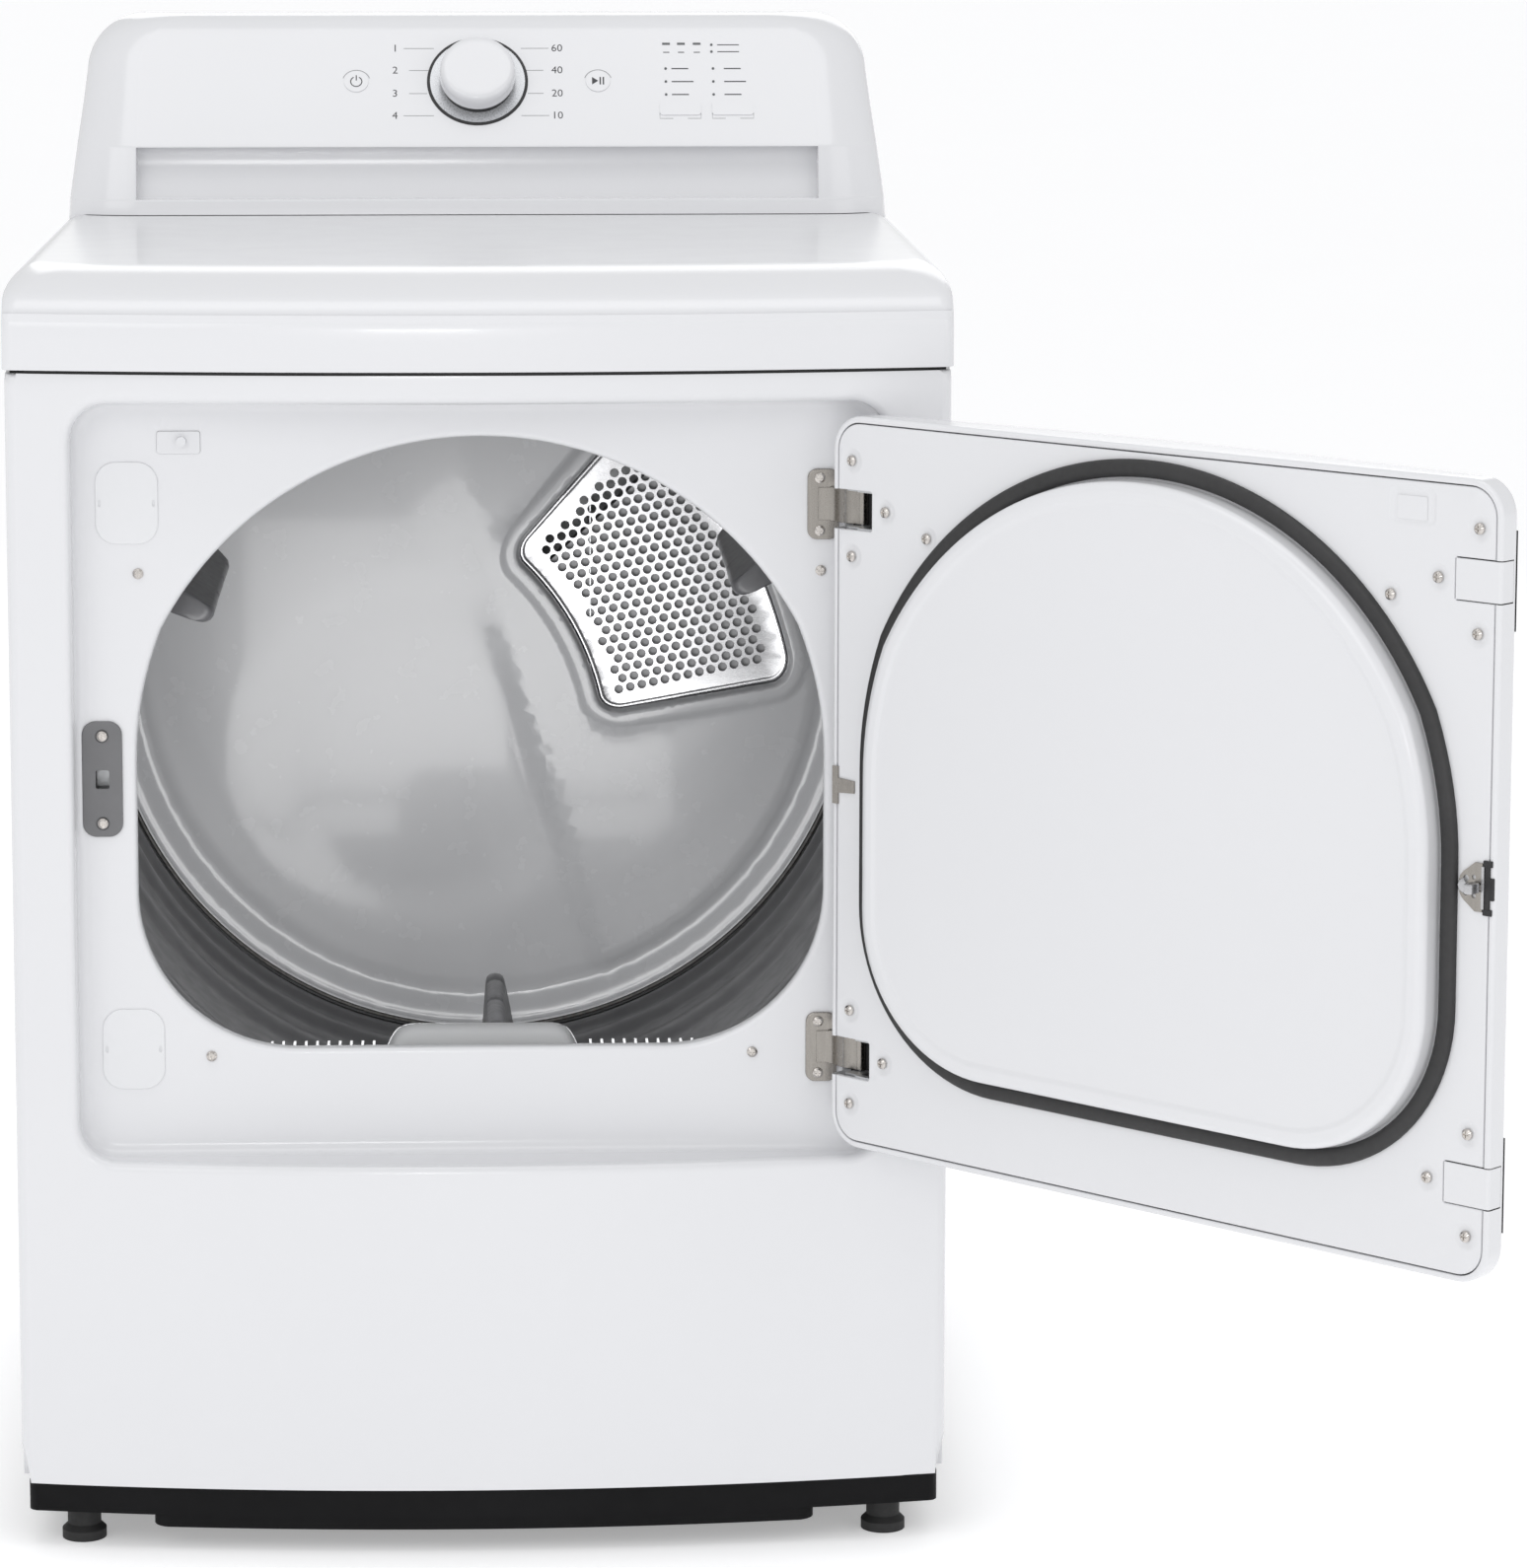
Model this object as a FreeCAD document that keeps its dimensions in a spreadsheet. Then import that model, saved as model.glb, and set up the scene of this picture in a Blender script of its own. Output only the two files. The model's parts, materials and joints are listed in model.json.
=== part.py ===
import FreeCAD, Part
import math
import os

import Sketcher
from FreeCAD import Placement, Rotation, Vector

# Clothes dryer, millimetres. Origin: on the floor, at the centre of the four feet.
# +Z up, the front faces -Y, +X is the hinge side of the door.

doc = FreeCAD.newDocument("clothes_dryer")

# ---------------------------------------------------------------- driving dimensions

DIMENSIONS = {
    # cabinet
    "cab_width": 686.0,
    "cab_depth": 700.0,
    "front_bow": 29.0,
    "sheet": 1.0,
    "front_sheet": 1.5,
    "panel_bottom": 49.5,
    "seam_height": 877.5,
    "cover_height": 950.0,
    "console_height": 1111.0,
    "base_low": 17.5,
    "base_high": 27.0,
    "foot_pitch_wide": 598.0,
    "foot_pitch_deep": 644.0,
    "foot_radius": 16.5,
    # door recess and loading opening
    "recess_half_width": 296.0,
    "recess_bottom": 295.0,
    "recess_top": 855.0,
    "recess_corner": 28.0,
    "recess_floor": -332.5,
    "opening_half_width": 252.0,
    "opening_bottom": 373.6,
    "opening_corner": 117.0,
    "opening_crown": 263.3,
    "opening_crown_centre": 564.0,
    # door, as it lies when shut
    "door_half_width": 290.5,
    "door_bottom": 306.0,
    "door_top": 846.0,
    "door_corner": 25.0,
    "door_back": -338.2,
    "door_proud": 1.5,
    "door_skin": 1.0,
    "plug_height": 20.0,
    "hinge_x": 277.9,
    "hinge_y": -356.8,
    "door_angle": 134.8,
    "hinge_upper": 777.5,
    "hinge_lower": 372.5,
    "arm_height": 25.0,
    "pin_radius": 1.7,
    "eye_radius": 3.4,
    # drum and drive
    "drum_axis": 576.0,
    "drum_radius": 322.0,
    "drum_wall": 1.2,
    "drum_front": -240.0,
    "drum_rear": 236.0,
    "drum_turn": 2.6,
    "lifter_crest": 225.0,
    "rear_wall": 245.0,
    "roller_radius": 35.0,
    "roller_angle": 38.0,
    "roller_width": 20.0,
    "shaft_x": 130.0,
    "shaft_height": 150.0,
    "shaft_radius": 6.0,
    "pulley_radius": 9.5,
    "belt_place": -15.0,
    "belt_width": 9.0,
    "idler_x": 70.0,
    "idler_height": 155.4,
    "idler_radius": 30.0,
    "idler_pivot_x": 108.0,
    "idler_pivot_height": 62.0,
    # air path
    "duct_radius": 48.6,
    "collar_radius": 49.8,
    "collar_height": 108.0,
    "collar_length": 37.0,
    "cord_hole_radius": 14.0,
    "cord_hole_x": -262.0,
    "cord_hole_height": 780.0,
    "inlet_radius": 50.0,
    "wheel_radius": 68.0,
    "motor_radius": 62.0,
    "grille_x": -124.0,
    "grille_z": 490.5,
    "grille_inner": 231.0,
    "grille_outer": 390.0,
    "grille_low_angle": 9.7,
    "grille_high_angle": 48.6,
    # console
    "console_half_width": 338.0,
    "console_front": 191.0,
    "face_tilt": 33.0,
    "face_centre_y": 236.0,
    "face_centre_z": 1057.0,
    "bezel_radius": 41.0,
    "knob_radius": 31.0,
    "knob_proud": 24.0,
    "button_radius": 10.0,
}

sheet = doc.addObject("Spreadsheet::Sheet", "sizes")
for row, (alias, number) in enumerate(DIMENSIONS.items(), start=1):
    sheet.set(f"A{row}", alias)
    sheet.set(f"B{row}", str(number))
    sheet.setAlias(f"B{row}", alias)
doc.recompute()


class Size:
    """A length that carries both its number and the sheet formula it comes from."""

    def __init__(self, number, formula=None):
        self.number = float(number)
        self.formula = formula if formula is not None else f"({float(number):.6f})"

    def __add__(self, other):
        other = size(other)
        return Size(self.number + other.number, f"({self.formula} + {other.formula})")

    def __sub__(self, other):
        other = size(other)
        return Size(self.number - other.number, f"({self.formula} - {other.formula})")

    def __mul__(self, other):
        other = size(other)
        return Size(self.number * other.number, f"({self.formula} * {other.formula})")

    def __truediv__(self, other):
        other = size(other)
        return Size(self.number / other.number, f"({self.formula} / {other.formula})")

    def __neg__(self):
        return Size(-self.number, f"(0 - {self.formula})")

    def __radd__(self, other):
        return size(other) + self

    def __rsub__(self, other):
        return size(other) - self

    def __rmul__(self, other):
        return size(other) * self


def size(value):
    return value if isinstance(value, Size) else Size(value)


def cell(alias):
    return Size(DIMENSIONS[alias], f"sizes.{alias}")


def root(value):
    return Size(math.sqrt(value.number), f"sqrt({value.formula})")


def bow_radius(half_width, bow):
    """Radius of the arc that rises by bow over a chord of twice half_width."""
    return (half_width * half_width + bow * bow) / (2 * bow)


# ---------------------------------------------------------------- sketch and feature helpers

def origin_plane(body, role):
    return next(item for item in body.Origin.OriginFeatures if item.Role == role)


def new_body(label, place=None):
    body = doc.addObject("PartDesign::Body", label)
    body.Label = label
    if place is not None:
        body.Placement = place
    return body


def new_sketch(body, plane, level=0.0):
    """A sketch on one of the body's origin planes, moved to a level along the plane's axis."""
    sketch = body.newObject("Sketcher::SketchObject", f"{body.Name}_sketch")
    sketch.AttachmentSupport = [(origin_plane(body, plane), "")]
    sketch.MapMode = "FlatFace"
    level = size(level)
    along = -level if plane == "XZ_Plane" else level
    sketch.setExpression(".AttachmentOffset.Base.z", along.formula)
    return sketch


def pin_point(sketch, index, end, x, y):
    """Ties one end of a curve to its place, each distance bound to the sheet."""
    for kind, axis, value in (("DistanceX", -2, size(x)), ("DistanceY", -1, size(y))):
        if abs(value.number) < 1e-9:
            sketch.addConstraint(Sketcher.Constraint("PointOnObject", index, end, axis))
            continue
        place = sketch.addConstraint(Sketcher.Constraint(kind, -1, 1, index, end, value.number))
        sketch.setExpression(f"Constraints[{place}]", value.formula)


def arc_between(start, stop, radius):
    """Minor arc, stored anticlockwise; a positive radius bulges to the right of the direction of travel."""
    chord = stop - start
    middle = (start + stop) * 0.5
    side = Vector(chord.y, -chord.x, 0).normalize()
    half = chord.Length / 2
    rise = abs(radius) - math.sqrt(max(radius * radius - half * half, 0.0))
    if radius > 0:
        return Part.Arc(start, middle + side * rise, stop)
    return Part.Arc(stop, middle - side * rise, start)


def draw_outline(sketch, outline):
    """Closed outline of (x, y) or (x, y, radius) points; radius makes the next span an arc."""
    spots = [Vector(size(item[0]).number, size(item[1]).number, 0) for item in outline]
    count = len(outline)
    spans = []
    for step, item in enumerate(outline):
        start, stop = spots[step], spots[(step + 1) % count]
        if len(item) == 2:
            spans.append((sketch.addGeometry(Part.LineSegment(start, stop), False), 1, 2))
            continue
        radius = size(item[2]).number
        index = sketch.addGeometry(arc_between(start, stop, radius), False)
        spans.append((index, 1, 2) if radius > 0 else (index, 2, 1))
    for step, (index, first, last) in enumerate(spans):
        following = spans[(step + 1) % count]
        sketch.addConstraint(Sketcher.Constraint("Coincident", index, last, following[0], following[1]))
    for (index, first, last), item in zip(spans, outline):
        pin_point(sketch, index, first, item[0], item[1])
        if len(item) == 3:
            radius = size(item[2])
            if radius.number < 0:
                radius = -radius
            place = sketch.addConstraint(Sketcher.Constraint("Radius", index, radius.number))
            sketch.setExpression(f"Constraints[{place}]", radius.formula)


def draw_circle(sketch, x, y, radius):
    radius = size(radius)
    circle = Part.Circle(Vector(size(x).number, size(y).number, 0), Vector(0, 0, 1), radius.number)
    index = sketch.addGeometry(circle, False)
    place = sketch.addConstraint(Sketcher.Constraint("Radius", index, radius.number))
    sketch.setExpression(f"Constraints[{place}]", radius.formula)
    pin_point(sketch, index, 3, x, y)


def draw(sketch, shapes):
    for shape in shapes:
        if shape[0] == "circle":
            draw_circle(sketch, *shape[1:])
        else:
            draw_outline(sketch, shape)


def circle(x, y, radius):
    return ("circle", x, y, radius)


def box(x_low, x_high, y_low, y_high):
    return [(x_low, y_low), (x_high, y_low), (x_high, y_high), (x_low, y_high)]


def rounded_box(x_low, x_high, y_low, y_high, radius):
    """Rectangle with four equal corner arcs, drawn anticlockwise."""
    return [
        (x_low + radius, y_low),
        (x_high - radius, y_low, radius),
        (x_high, y_low + radius),
        (x_high, y_high - radius, radius),
        (x_high - radius, y_high),
        (x_low + radius, y_high, radius),
        (x_low, y_high - radius),
        (x_low, y_low + radius, radius),
    ]


def pad(body, plane, low, high, *shapes):
    """Adds the outlines between two levels along the plane's axis."""
    sketch = new_sketch(body, plane, low)
    draw(sketch, shapes)
    feature = body.newObject("PartDesign::Pad", f"{body.Name}_pad")
    feature.Profile = sketch
    feature.setExpression("Length", (size(high) - low).formula)
    feature.Reversed = plane == "XZ_Plane"
    return feature


def pocket(body, plane, low, high, *shapes):
    """Cuts the outlines between two levels along the plane's axis."""
    sketch = new_sketch(body, plane, low)
    draw(sketch, shapes)
    feature = body.newObject("PartDesign::Pocket", f"{body.Name}_pocket")
    feature.Profile = sketch
    feature.setExpression("Length", (size(high) - low).formula)
    feature.Reversed = plane != "XZ_Plane"
    return feature


def revolve(body, outline):
    """Turns an outline of (distance along Y, radius) points about the body's own Y axis."""
    sketch = new_sketch(body, "YZ_Plane")
    draw(sketch, [outline])
    feature = body.newObject("PartDesign::Revolution", f"{body.Name}_revolution")
    feature.Profile = sketch
    feature.ReferenceAxis = (sketch, ["H_Axis"])
    feature.Angle = 360.0
    return feature


def ring_of(body, feature, count):
    """Repeats a feature around the body's own Y axis."""
    pattern = body.newObject("PartDesign::PolarPattern", f"{body.Name}_ring")
    pattern.Originals = [feature]
    pattern.Axis = (origin_plane(body, "Y_Axis"), [""])
    pattern.Angle = 360.0
    pattern.Occurrences = count
    body.Tip = pattern
    return pattern


def row_of(body, feature, role, length, count):
    """Repeats a feature along one of the body's axes."""
    pattern = body.newObject("PartDesign::LinearPattern", f"{body.Name}_row")
    pattern.Originals = [feature]
    pattern.Direction = (origin_plane(body, role), [""])
    pattern.setExpression("Length", size(length).formula)
    pattern.Occurrences = count
    body.Tip = pattern
    return pattern


def group(label, solids):
    """Several equal solids that share one node."""
    feature = doc.addObject("Part::Feature", label)
    feature.Label = label
    feature.Shape = Part.makeCompound(solids)
    return feature


def at(x=0.0, y=0.0, z=0.0, axis=Vector(0, 0, 1), angle=0.0):
    spot = Vector(size(x).number, size(y).number, size(z).number)
    return Placement(spot, Rotation(axis, angle))


NODES = []


def node(item):
    """Registers a finished sub-part; its label names its file."""
    NODES.append(item)


# ---------------------------------------------------------------- shared outlines

HALF = cell("cab_width") / 2
BACK = cell("cab_depth") / 2
FRONT = -BACK
BOW = cell("front_bow")
SHEET = cell("sheet")
DRUM_AXIS = cell("drum_axis")


def bowed_plan(half_width, front, bow, back, corner):
    """Plan of a panel with a bowed front and small round corners, drawn anticlockwise from above."""
    return [
        (-half_width + corner, front, bow_radius(half_width - corner, bow)),
        (half_width - corner, front, corner),
        (half_width, front + corner),
        (half_width, back),
        (-half_width, back),
        (-half_width, front + corner, corner),
    ]


def dee(offset):
    """The loading opening's outline, grown by an offset: flat foot, round corners, arched crown."""
    offset = size(offset)
    half = cell("opening_half_width") + offset
    foot = cell("opening_bottom") - offset
    corner = cell("opening_corner") + offset
    crown = cell("opening_crown") + offset
    shoulder = cell("opening_crown_centre") + root(crown * crown - half * half)
    return [
        (-half + corner, foot),
        (half - corner, foot, corner),
        (half, foot + corner),
        (half, shoulder, crown),
        (-half, shoulder),
        (-half, foot + corner, corner),
    ]


def prism(label, plane, low, high, *shapes):
    """A plain body padded from its outlines, used on its own or as a tool."""
    body = new_body(label)
    pad(body, plane, low, high, *shapes)
    return body


def cut(label, base, tool):
    feature = doc.addObject("Part::Cut", label)
    feature.Base = base
    feature.Tool = tool
    return feature


def common(label, first, second):
    feature = doc.addObject("Part::Common", label)
    feature.Base = first
    feature.Tool = second
    return feature


def fuse(label, first, second):
    feature = doc.addObject("Part::Fuse", label)
    feature.Base = first
    feature.Tool = second
    return feature


# ---------------------------------------------------------------- base and cabinet

BASE_INSET = 5
BELLY_HALF = 245


def belly(half, inset, back, corner):
    """Plan of the base pan's lower middle, its front following the pan's bow from a little behind."""
    radius = bow_radius(HALF - BASE_INSET, BOW)
    span = half - corner
    rise = radius - root(radius * radius - span * span)
    apex = FRONT + BASE_INSET - BOW + inset
    return bowed_plan(size(half), apex + rise, rise, back, corner)


def make_base_pan():
    """Black tray under the cabinet; its middle hangs lower than its ends."""
    inset = BASE_INSET
    wall = 1.5
    half = HALF - inset
    corner = 8
    step_back = BACK - 60
    stud_hole = 5.1
    low = cell("base_low")
    high = cell("base_high")
    top = cell("panel_bottom") - 1.0
    body = new_body("base_pan")
    pad(body, "XY_Plane", high, top, bowed_plan(half, FRONT + inset, BOW, BACK - inset, corner))
    pad(body, "XY_Plane", low, high + wall, belly(BELLY_HALF, 2, step_back, 14))
    inner = half - wall
    pocket(body, "XY_Plane", high + wall, top,
           bowed_plan(inner, FRONT + inset + wall, BOW, BACK - inset - wall, corner))
    pocket(body, "XY_Plane", low + wall, high + wall + 0.5,
           belly(BELLY_HALF - wall, 2 + wall, step_back - wall, 12))
    wide, deep = cell("foot_pitch_wide") / 2, cell("foot_pitch_deep") / 2
    pocket(body, "XY_Plane", high - 1, high + wall + 1,
           *[circle(wide * across, deep * along, stud_hole) for across in (-1, 1) for along in (-1, 1)])
    return body


def make_foot():
    """Round pad with a waisted stem and a stud that screws up into the base pan."""
    radius = cell("foot_radius")
    body = new_body("foot")
    sketch = new_sketch(body, "XZ_Plane")
    outline = [
        (0, 0), (radius, 0), (radius, 7), (radius - 4, 11),
        (radius - 4, cell("base_high") - 1.0), (5, cell("base_high") - 1.0), (5, 44), (0, 44),
    ]
    draw(sketch, [outline])
    feature = body.newObject("PartDesign::Revolution", "foot_revolution")
    feature.Profile = sketch
    feature.ReferenceAxis = (sketch, ["V_Axis"])
    feature.Angle = 360.0
    return body


def make_side_panel(label, side):
    """Flat steel side with a flange turned in at the front and at the back."""
    flange = 14
    outer = HALF * side
    inner = (HALF - SHEET) * side
    turned = (HALF - flange) * side
    front = FRONT + 24
    back = BACK - 1.5
    bottom = cell("panel_bottom")
    top = cell("seam_height") - 1.0
    plan = [(outer, front), (outer, back), (turned, back), (turned, back - SHEET),
            (inner, back - SHEET), (inner, front + SHEET), (turned, front + SHEET), (turned, front)]
    return prism(label, "XY_Plane", bottom, top, plan)


def make_rear_panel():
    """Steel back, slotted to lift off over the exhaust duct, with a cord hole and stiffening ribs."""
    body = new_body("rear_panel")
    half = HALF - 0.5
    pad(body, "XZ_Plane", BACK - SHEET, BACK,
        box(-half, half, cell("panel_bottom"), cell("cover_height") - 8))
    slot_half = cell("duct_radius") + 0.5
    pocket(body, "XZ_Plane", BACK - SHEET, BACK + 1,
           box(-slot_half, slot_half, cell("panel_bottom") - 1, cell("collar_height") + slot_half))
    pocket(body, "XZ_Plane", BACK - SHEET, BACK + 1,
           circle(cell("cord_hole_x"), cell("cord_hole_height"), cell("cord_hole_radius")))
    pocket(body, "XZ_Plane", BACK - SHEET, BACK + 1, *[circle(x, z, 2.1) for x, z in REAR_SCREWS])
    rib = pad(body, "XZ_Plane", BACK, BACK + 3, rounded_box(-220, 220, 300, 318, 8.5))
    row_of(body, rib, "Z_Axis", 440, 3)
    return body


def cover_block(label, inset):
    """Top cover form: the rolled front edge is turned about the bow's centre, the sides are rolled."""
    inset = size(inset)
    hollow = inset.number > 0
    half = HALF + 1.5 - inset
    low = cell("seam_height") + (0.5 if hollow else 1.5)
    top = cell("cover_height") - inset
    side_roll = 20 - inset
    lean = math.radians(30)
    crown_roll = 120 - inset
    nose_roll = 34 - inset
    nose_depth = nose_roll * (1 - math.sin(lean))
    crown_drop = crown_roll * (1 - math.cos(lean))
    radius = bow_radius(HALF, BOW) + 1.5 - inset
    centre = FRONT - BOW + bow_radius(HALF, BOW)
    back = BACK + 60 - centre
    turned = new_body(f"{label}_turned", at(0, centre, 0))
    sketch = new_sketch(turned, "YZ_Plane")
    draw(sketch, [[
        (-radius, low), (back, low), (back, top),
        (-radius + nose_depth + crown_roll * math.sin(lean), top, crown_roll),
        (-radius + nose_depth, top - crown_drop, nose_roll),
        (-radius, top - crown_drop - nose_roll * math.cos(lean)),
    ]])
    feature = turned.newObject("PartDesign::Revolution", f"{label}_turn")
    feature.Profile = sketch
    feature.ReferenceAxis = (sketch, ["V_Axis"])
    feature.Angle = 40.0
    feature.Midplane = True
    section = prism(f"{label}_section", "XZ_Plane", -420, BACK - 2 - inset, [
        (-half, low - 1), (half, low - 1), (half, top - side_roll, side_roll), (half - side_roll, top),
        (-half + side_roll, top, side_roll), (-half, top - side_roll),
    ])
    return common(label, turned, section)


def make_top_cover():
    """Pressed top with a deep bowed skirt in front, open underneath."""
    return cut("top_cover", cover_block("cover_outside", 0), cover_block("cover_inside", 1.4))


def make_front_panel():
    """Bowed steel front with the door recess and the loading opening pressed into it."""
    wall = cell("front_sheet")
    floor = cell("recess_floor")
    back = FRONT + 23
    bottom = cell("panel_bottom")
    top = cell("seam_height") - 1.0
    corner = 8
    skin = prism("panel_outside", "XY_Plane", bottom, top, bowed_plan(HALF, FRONT, BOW, back, corner))
    inside = prism("panel_inside", "XY_Plane", bottom + wall, top - wall,
                   bowed_plan(HALF - wall, FRONT + wall, BOW, back + 1, corner - wall))
    half = cell("recess_half_width")
    low = cell("recess_bottom")
    high = cell("recess_top")
    round_ = cell("recess_corner")
    basin = prism("recess_outside", "XZ_Plane", FRONT - 40, floor + wall,
                  rounded_box(-half - wall, half + wall, low - wall, high + wall, round_ + wall))
    hollow = cut("panel_hollow", inside, basin)
    shell = cut("panel_shell", skin, hollow)
    well = prism("recess_inside", "XZ_Plane", FRONT - 40, floor,
                 rounded_box(-half, half, low, high, round_))
    dished = cut("panel_dished", shell, well)
    collar = prism("opening_collar", "XZ_Plane", floor + wall / 2, floor + 9, dee(wall))
    with_collar = fuse("panel_collar", dished, collar)
    opening = prism("opening_cut", "XZ_Plane", FRONT - 40, FRONT + 60, dee(0))
    opened = cut("panel_opened", with_collar, opening)
    holes = prism("panel_holes", "XZ_Plane", FRONT - 40, FRONT + 60,
                  box(-283.8, -269.8, 569.0, 583.0),
                  rounded_box(-234.4, -202.6, 815.6, 832.4, 2),
                  *[circle(x, z, 2.1) for x, z in FRAME_SCREWS + CATCH_SCREWS + hinge_screws()])
    return cut("front_panel", opened, holes)


# ---------------------------------------------------------------- drum supports and air path

def make_front_bulkhead():
    """Plate behind the front panel with the ring that the drum's front lip turns on."""
    half = HALF - 3
    plate_front = -318
    ring_back = cell("drum_front") - 4
    ring = 300
    body = new_body("front_bulkhead")
    pad(body, "XZ_Plane", plate_front, plate_front + 1.5,
        box(-half, half, cell("panel_bottom") + 4, cell("seam_height") - 6), dee(3))
    pad(body, "XZ_Plane", plate_front + 1.0, ring_back,
        circle(0, DRUM_AXIS, ring), circle(0, DRUM_AXIS, ring - 2))
    pocket(body, "XZ_Plane", plate_front + 1.5, -275,
           box(-80, 80, 270, 300))
    return body


def make_rear_bulkhead():
    """Plate behind the drum on two legs, with the rim that the drum's rear edge turns on."""
    half = HALF - 3
    wall = cell("rear_wall")
    rim = 314
    arch_half, arch_top = 130, 175
    foot, top = cell("panel_bottom") + 4, cell("cover_height") - 12
    body = new_body("rear_bulkhead")
    pad(body, "XZ_Plane", wall, wall + 1.2,
        [(-half, foot), (-arch_half, foot), (-arch_half, arch_top), (arch_half, arch_top),
         (arch_half, foot), (half, foot), (half, top), (-half, top)])
    pad(body, "XZ_Plane", wall - 20, wall + 0.5, circle(0, DRUM_AXIS, rim), circle(0, DRUM_AXIS, rim - 1.5))
    pocket(body, "XZ_Plane", wall - 0.5, wall + 3, fan(-12))
    return body


def polar(radius, angle):
    """Point at a polar place about the grille's own centre."""
    radians = math.radians(angle)
    return (cell("grille_x") + size(radius) * math.cos(radians),
            cell("grille_z") + size(radius) * math.sin(radians))


def fan(grow):
    """Fan-shaped outline of the hot air grille, grown by an amount on every side."""
    inner = cell("grille_inner") - grow
    outer = cell("grille_outer") + grow
    spread = math.degrees(grow / DIMENSIONS["grille_inner"])
    low = DIMENSIONS["grille_low_angle"] - spread
    high = DIMENSIONS["grille_high_angle"] + spread
    return [
        polar(inner, low),
        (*polar(outer, low), outer),
        polar(outer, high),
        (*polar(inner, high), -inner),
    ]


def make_hot_air_grille():
    wall = cell("rear_wall")
    return prism("hot_air_grille", "XZ_Plane", wall - 1.2, wall - 0.1, fan(0))


def make_heater_duct():
    """Sheet steel duct that rises behind the drum to the hot air grille, open towards it."""
    wall = SHEET
    front = cell("rear_wall") + 1.4
    back = 322
    left, right, low, high = 92, 288, 190, 800
    body = new_body("heater_duct")
    pad(body, "XZ_Plane", front, back, box(left, right, low, high))
    pocket(body, "XZ_Plane", front - 1, back - wall, box(left + wall, right - wall, low + wall, high - wall))
    pocket(body, "XY_Plane", low - 1, low + wall + 1, box(left + 20, right - 20, front + 15, back - 15))
    return body


def make_heater_coils():
    """Ceramic-held resistance coils, as straight rods across the duct on two end rails."""
    left, right = 96, 284
    body = new_body("heater_coils")
    pad(body, "YZ_Plane", left, left + 5, box(262, 308, 230, 420))
    pad(body, "YZ_Plane", right - 5, right, box(262, 308, 230, 420))
    rod = pad(body, "YZ_Plane", left + 4, right - 4, circle(285, 245, 5))
    row_of(body, rod, "Z_Axis", 160, 6)
    return body


def make_lint_housing():
    """Plastic chute for the lint filter, with a comb on each side of its mouth."""
    wall = 2
    front, back = -316, -276
    half = 78
    mouth = 362
    knee = 214
    foot = 92
    right = 188
    body = new_body("lint_housing")
    pad(body, "XZ_Plane", front, back,
        [(-half, foot), (right, foot), (right, knee), (half, knee), (half, mouth), (-half, mouth)])
    pocket(body, "XZ_Plane", front + wall, back - wall,
           [(-half + wall, foot + wall), (right - wall, foot + wall), (right - wall, knee - wall),
            (half - wall, knee - wall), (half - wall, mouth + 1), (-half + wall, mouth + 1)])
    pocket(body, "XZ_Plane", back - wall - 1, back + 1,
           circle(cell("shaft_x"), cell("shaft_height"), cell("inlet_radius")))
    for side in (-1, 1):
        near, far = half * side, 158 * side
        pad(body, "XY_Plane", mouth - 6, mouth - 3, box(near, far, front, back))
        tooth_at = near + 2.0 * side
        tooth = pad(body, "XY_Plane", mouth - 4, mouth + 4,
                    box(tooth_at, tooth_at + 1.8 * side, front, back))
        step = row_of(body, tooth, "X_Axis", 76, 10)
        step.Reversed = side < 0
    return body


FILTER_HALF = 71.0


def make_lint_filter_frame():
    """Handle and blade frame of the filter that lifts out of the chute."""
    half = FILTER_HALF
    body = new_body("lint_filter_frame")
    shoulder = 363
    pad(body, "XZ_Plane", -311, -281,
        [(-half, shoulder), (half, shoulder), (57, 383), (-57, 383)])
    pad(body, "XZ_Plane", -302, -290, box(-half, half, 222, shoulder + 1))
    pocket(body, "XZ_Plane", -303, -289,
           box(-half + 5, -2, 228, 356), box(2, half - 5, 228, 356))
    return body


def make_lint_filter_mesh():
    """Fine screen on the back and front of the blade, one sheet in each window."""
    wide = FILTER_HALF - 5.2 - 2.2
    low, high = 228.2, 355.8
    windows = [Part.makeBox(wide, 0.6, high - low, Vector(x, -296.3, low)) for x in (2.2, -2.2 - wide)]
    return group("lint_filter_mesh", windows)


def make_blower_housing():
    """Scroll around the blower wheel, with its outlet box beside it."""
    wall = 2
    front, back = -275.8, -204
    x, z = cell("shaft_x"), cell("shaft_height")
    scroll = 82
    box_low, box_high = 52, 164
    outlet = [(-56, box_low), (x, box_low), (x, box_high), (-56, box_high)]
    inside = [(-54, box_low + wall), (x, box_low + wall), (x, box_high - wall), (-54, box_high - wall)]
    body = new_body("blower_housing")
    pad(body, "XZ_Plane", front, back, circle(x, z, scroll))
    pad(body, "XZ_Plane", front, back, outlet)
    pocket(body, "XZ_Plane", front + wall, back - wall, circle(x, z, scroll - wall))
    pocket(body, "XZ_Plane", front + wall, back - wall, inside)
    pocket(body, "XZ_Plane", front - 1, front + wall + 1, circle(x, z, cell("inlet_radius")))
    pocket(body, "XZ_Plane", back - wall - 1, back + 1, circle(x, z, cell("shaft_radius") + 6),
           circle(0, cell("collar_height"), cell("duct_radius") - 0.8))
    return body


def make_exhaust_duct():
    """Straight round duct from the blower, swaged out behind the back into the collar."""
    wall = 0.8
    front = -203.8
    duct, collar = cell("duct_radius"), cell("collar_radius")
    step = BACK + 1
    end = step + cell("collar_length")
    body = new_body("exhaust_duct", at(0, 0, cell("collar_height")))
    revolve(body, [
        (front, duct - wall), (front, duct), (step, duct), (step, collar), (end, collar),
        (end, collar - wall), (step + wall, collar - wall), (step + wall, duct - wall),
    ])
    return body


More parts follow.
